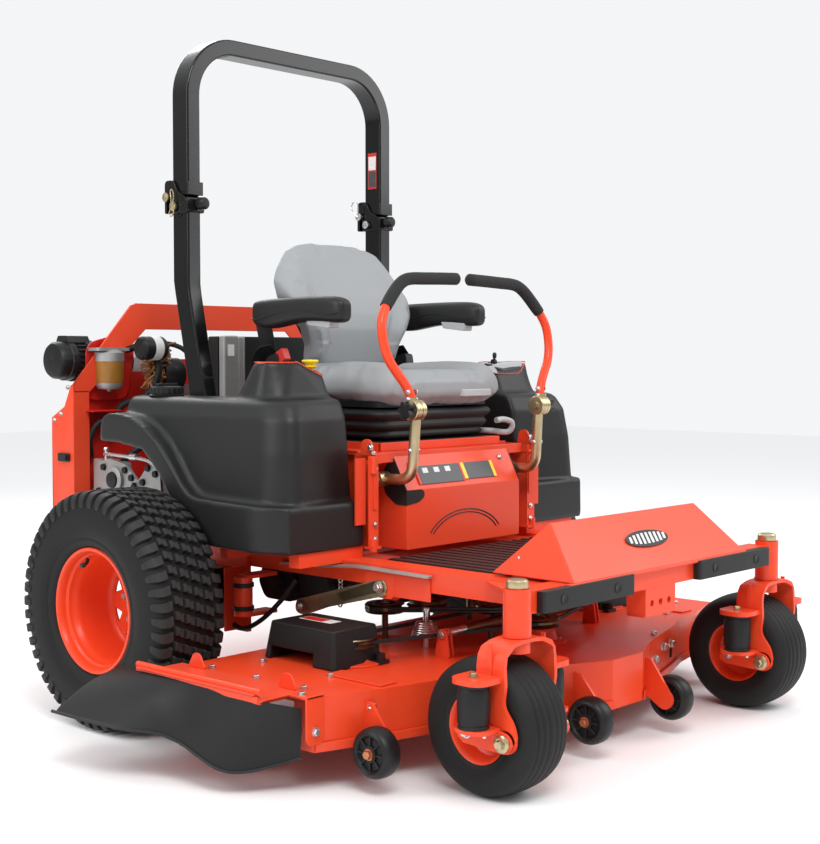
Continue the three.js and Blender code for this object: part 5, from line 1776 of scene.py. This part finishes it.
def air_cleaner():
    cleaner = Shape()
    body = [(0, -598), (30, -600), (52, -596), (58, -588), (60, -560), (64, -558), (64, -538), (60, -536),
            (60, -500), (68, -498), (68, -470), (62, -466), (62, -180), (54, -172), (0, -170)]
    cleaner.lathe("x", body, (0, CLEANER_Y, CLEANER_Z), 56)
    for k in range(CLEANER_CLIPS):
        a = 2 * math.pi * k / CLEANER_CLIPS
        cleaner.prism("x", [(CLEANER_Y + r * math.cos(a + d), CLEANER_Z + r * math.sin(a + d))
                            for r, d in ((56, -0.03), (67, -0.03), (67, 0.03), (56, 0.03))], -534, -502)
    cleaner.prism("x", rounded([(600, 1060), (672, 1060), (660, 1084), (612, 1084)], 6), -560, -480)
    cleaner.tube(smooth_path([(-250, CLEANER_Y, 960), (-248, 628, 900), (-200, 606, 880)], 6), 28, 20)
    cleaner.build("air_cleaner_canister", panel_black, "frame", bevel=1.2, stands_for=["air_cleaner"])
    label = Shape()
    label.lathe("x", [(62.2, -330), (62.9, -330), (62.9, -250), (62.2, -250)],
                (0, CLEANER_Y, CLEANER_Z), 48)
    label.build("air_cleaner_label", label_white, "frame", bevel=0)


def filters():
    oil_filter = Shape()
    oil_filter.lathe("x", [(0, -420), (32, -420), (37, -414), (37, -340), (32, -332), (0, -332)],
                     (0, 420, 1044), 40)
    oil_filter.build("oil_filter", panel_black, "frame", bevel=1)
    band = Shape()
    band.lathe("x", [(37, -384), (37.8, -384), (37.8, -352), (37, -352)], (0, 420, 1044), 40)
    band.build("oil_filter_label", label_white, "frame", bevel=0)
    can = Shape()
    place = (-458, 530, 0)
    can.lathe("z", [(0, 935), (44, 935), (45.5, 940), (45.5, 1004), (0, 1004)], place, 44)
    can.build("fuel_filter_body", amber, "frame", bevel=1)
    ends = Shape()
    ends.lathe("z", [(0, 908), (8, 908), (8, 914), (34, 916), (43, 928), (43, 936), (0, 936)], place, 40)
    ends.lathe("z", [(0, 1003), (46.5, 1003), (46.5, 1030), (30, 1042), (0, 1042)], place, 40)
    ends.prism("z", rounded([(-520, 500), (-396, 500), (-396, 560), (-520, 560)], 12), 1036, 1046)
    ends.build("fuel_filter_ends", alloy, "frame", bevel=1)


RADIATOR_FINS = 40


def radiator():
    core = Shape()
    core.box(-236, 236, 262, 270, 520, 1080)
    for k in range(RADIATOR_FINS):
        x = -232 + k * 464 / (RADIATOR_FINS - 1)
        core.box(x - 1.4, x + 1.4, 270, 304, 524, 1076)
    core.box(-236, 236, 268, 306, 1072, 1082)
    core.box(-236, 236, 268, 306, 520, 534)
    for side in (RIGHT, LEFT):
        core.box(side * 222, side * 238, 262, 308, 466, 1080)
    core.build("radiator_core", panel_black, "frame", bevel=1, stands_for=["radiator"])
    tank = Shape()
    tank.box(-236, -176, 232, 261, 880, 1084)
    tank.box(-172, -150, 240, 261, 880, 1082)
    tank.box(-148, -136, 246, 261, 880, 1084)
    tank.build("radiator_side_tank", alloy, "frame", bevel=6, rings=3)
    note = Shape()
    note.box(-222, -196, 231.2, 231.9, 1020, 1056)
    note.build("radiator_label", label_white, "frame", bevel=0)


def pumps():
    pump = Shape()
    bracket = rounded([(170, 500), (180, 676), (230, 700), (290, 640), (350, 690), (440, 704), (510, 680),
                       (520, 560), (480, 500)], 16, 5)
    block = rounded([(400, 560), (530, 560), (530, 700), (400, 690)], 14, 5)
    for side in (RIGHT, LEFT):
        pump.prism("x", rounded([(170, 520), (360, 500), (380, 640), (300, 700), (190, 690)], 24, 6),
                   side * 300, side * 420)
        pump.prism("x", bracket, side * 520, side * 530)
        pump.prism("x", block, side * 470, side * 520)
        pump.lathe("x", [(0, side * 530), (40, side * 530), (40, side * 540), (34, side * 544),
                         (0, side * 544)], (0, 400, 640), 40)
        pump.lathe("z", [(0, 690), (44, 690), (46, 700), (36, 724), (22, 742), (0, 744)],
                   (side * 380, 280, 0), 36)
    pump.build("hydraulic_pumps", alloy, "frame", bevel=3, rings=3)
    heads = Shape()
    places = ((200, 668), (236, 684), (212, 610), (262, 640), (318, 650), (350, 672), (460, 676), (486, 600))
    fork = rounded([(250, 560), (300, 640), (350, 560), (330, 556), (300, 610), (270, 556)], 6)
    for side in (RIGHT, LEFT):
        head = [(0, side * 530), (11, side * 530), (10, side * 538), (0, side * 539)]
        for y, z in places:
            heads.lathe("x", head, (0, y, z), 20)
        heads.prism("x", fork, side * 532, side * 542)
        hub = [(0, side * 544), (26, side * 544), (24, side * 549), (0, side * 550)]
        heads.lathe("x", hub, (0, 400, 640), 30)
    heads.build("pump_screws", panel_black, "frame", bevel=0.5)


def pump_rods():
    rod = Shape()
    for side in (RIGHT, LEFT):
        rod.tube(smooth_path([(side * 520, 470, 716), (side * 524, 330, 712), (side * 540, 220, 706),
                              (side * 556, 140, 680), (side * 562, 80, 640), (side * 562, 30, 590)], 6),
                 6.5, 14)
        rod.disc("z", 6, 676, 728, (side * 520, 462, 0), 16)
        rod.bolt((side * 520, 462, 728), "z", 8)
        rod.lathe("y", [(0, 300), (11, 300), (11, 330), (0, 330)], (side * 523, 0, 713), 20)
    rod.build("pump_control_rods", silver, "frame", bevel=0.5)


WIRES, WIRE_POINTS = 26, 9


def hoses_and_wires():
    hoses = Shape()
    runs = [
        ([(-380, 545, 1040), (-350, 470, 1052), (-340, 430, 980), (-360, 460, 900), (-420, 520, 860),
          (-440, 540, 780)], 11),
        ([(-330, 560, 1020), (-290, 500, 1060), (-230, 440, 1040), (-220, 380, 960), (-260, 340, 900)], 8),
        ([(-500, 570, 700), (-520, 548, 760), (-500, 530, 810), (-450, 520, 826)], 9),
        ([(-520, 560, 560), (-470, 430, 700), (-420, 360, 760), (-360, 330, 840)], 10),
        ([(380, 545, 1000), (330, 470, 1020), (300, 430, 940), (360, 460, 860)], 11),
        ([(-150, 306, 1040), (-160, 360, 1040), (-120, 430, 1000), (-60, 470, 930)], 17),
        ([(160, 284, 560), (170, 360, 540), (120, 420, 620)], 17),
    ]
    for points, radius in runs:
        hoses.tube(smooth_path(points, 8), radius, 14)
    hoses.build("engine_hoses", rubber, "frame", bevel=0)
    wires = Shape()
    for k in range(WIRES):
        phase = k * 2.4
        path = []
        for j in range(WIRE_POINTS):
            x = -322 + 46 * math.sin(phase + 2.2 * j) + 20 * math.sin(1.3 * phase)
            y = 462 + 30 * math.cos(1.3 * phase + 2.6 * j)
            z = 1048 - 13 * j * (1 + 0.3 * math.sin(phase)) + 16 * math.sin(phase + 3 * j)
            path.append((x, y, z))
        wires.tube(smooth_path(path, 4), 2.4, 6)
    wires.build("engine_wiring", loom, "frame", bevel=0)


def engine_top():
    block = Shape()
    block.lathe("z", [(0, 620), (160, 620), (165, 640), (165, 860), (150, 900), (90, 915), (0, 918)],
                (0, 490, 0), 48)
    head = rounded([(380, 640), (580, 640), (590, 880), (540, 930), (400, 920)], 24, 6)
    block.prism("x", head, -150, 150)
    block.build("engine_top", alloy, "frame", bevel=3, rings=3)
    shroud = Shape()
    shroud.lathe("z", [(0, 880), (120, 880), (126, 890), (118, 940), (80, 962), (0, 966)], (0, 490, 0), 48)
    shroud.lathe("x", [(0, -306), (48, -306), (54, -296), (54, -232), (0, -226)], (0, 480, 960), 36)
    for side in (RIGHT, LEFT):
        shroud.box(side * 160, side * 250, 430, 560, 650, 830)
    shroud.build("engine_shroud", panel_black, "frame", bevel=8, rings=4)


def engine_bay():
    keep_node("engine", alloy, 6)
    keep_node("wheel_motor_right", gloss_black, 4)
    keep_node("wheel_motor_left", gloss_black, 4)
    rear_guard()
    air_cleaner()
    filters()
    radiator()
    pumps()
    pump_rods()
    hoses_and_wires()
    engine_top()


# ---- assembly ------------------------------------------------------------------------------
make_camera()
make_studio()
roll_bar()
for side, hand in HANDS:
    rear_tyre(side, hand)
    rear_rim(side, hand)
    caster(side, hand)
    pod(side, hand)
    levers(side, hand)
    armrest(side, hand)
    bumper(side, hand)
for where, x, y in GAUGE_WHEELS:
    gauge_wheel(where, x, y)
console_controls()
seat_cushion()
seat_back()
seat_mount()
control_tower()
footrest()
foot_mat()
frame_details()
deck()
under_frame()
drive_line()
flap()
engine_bay()
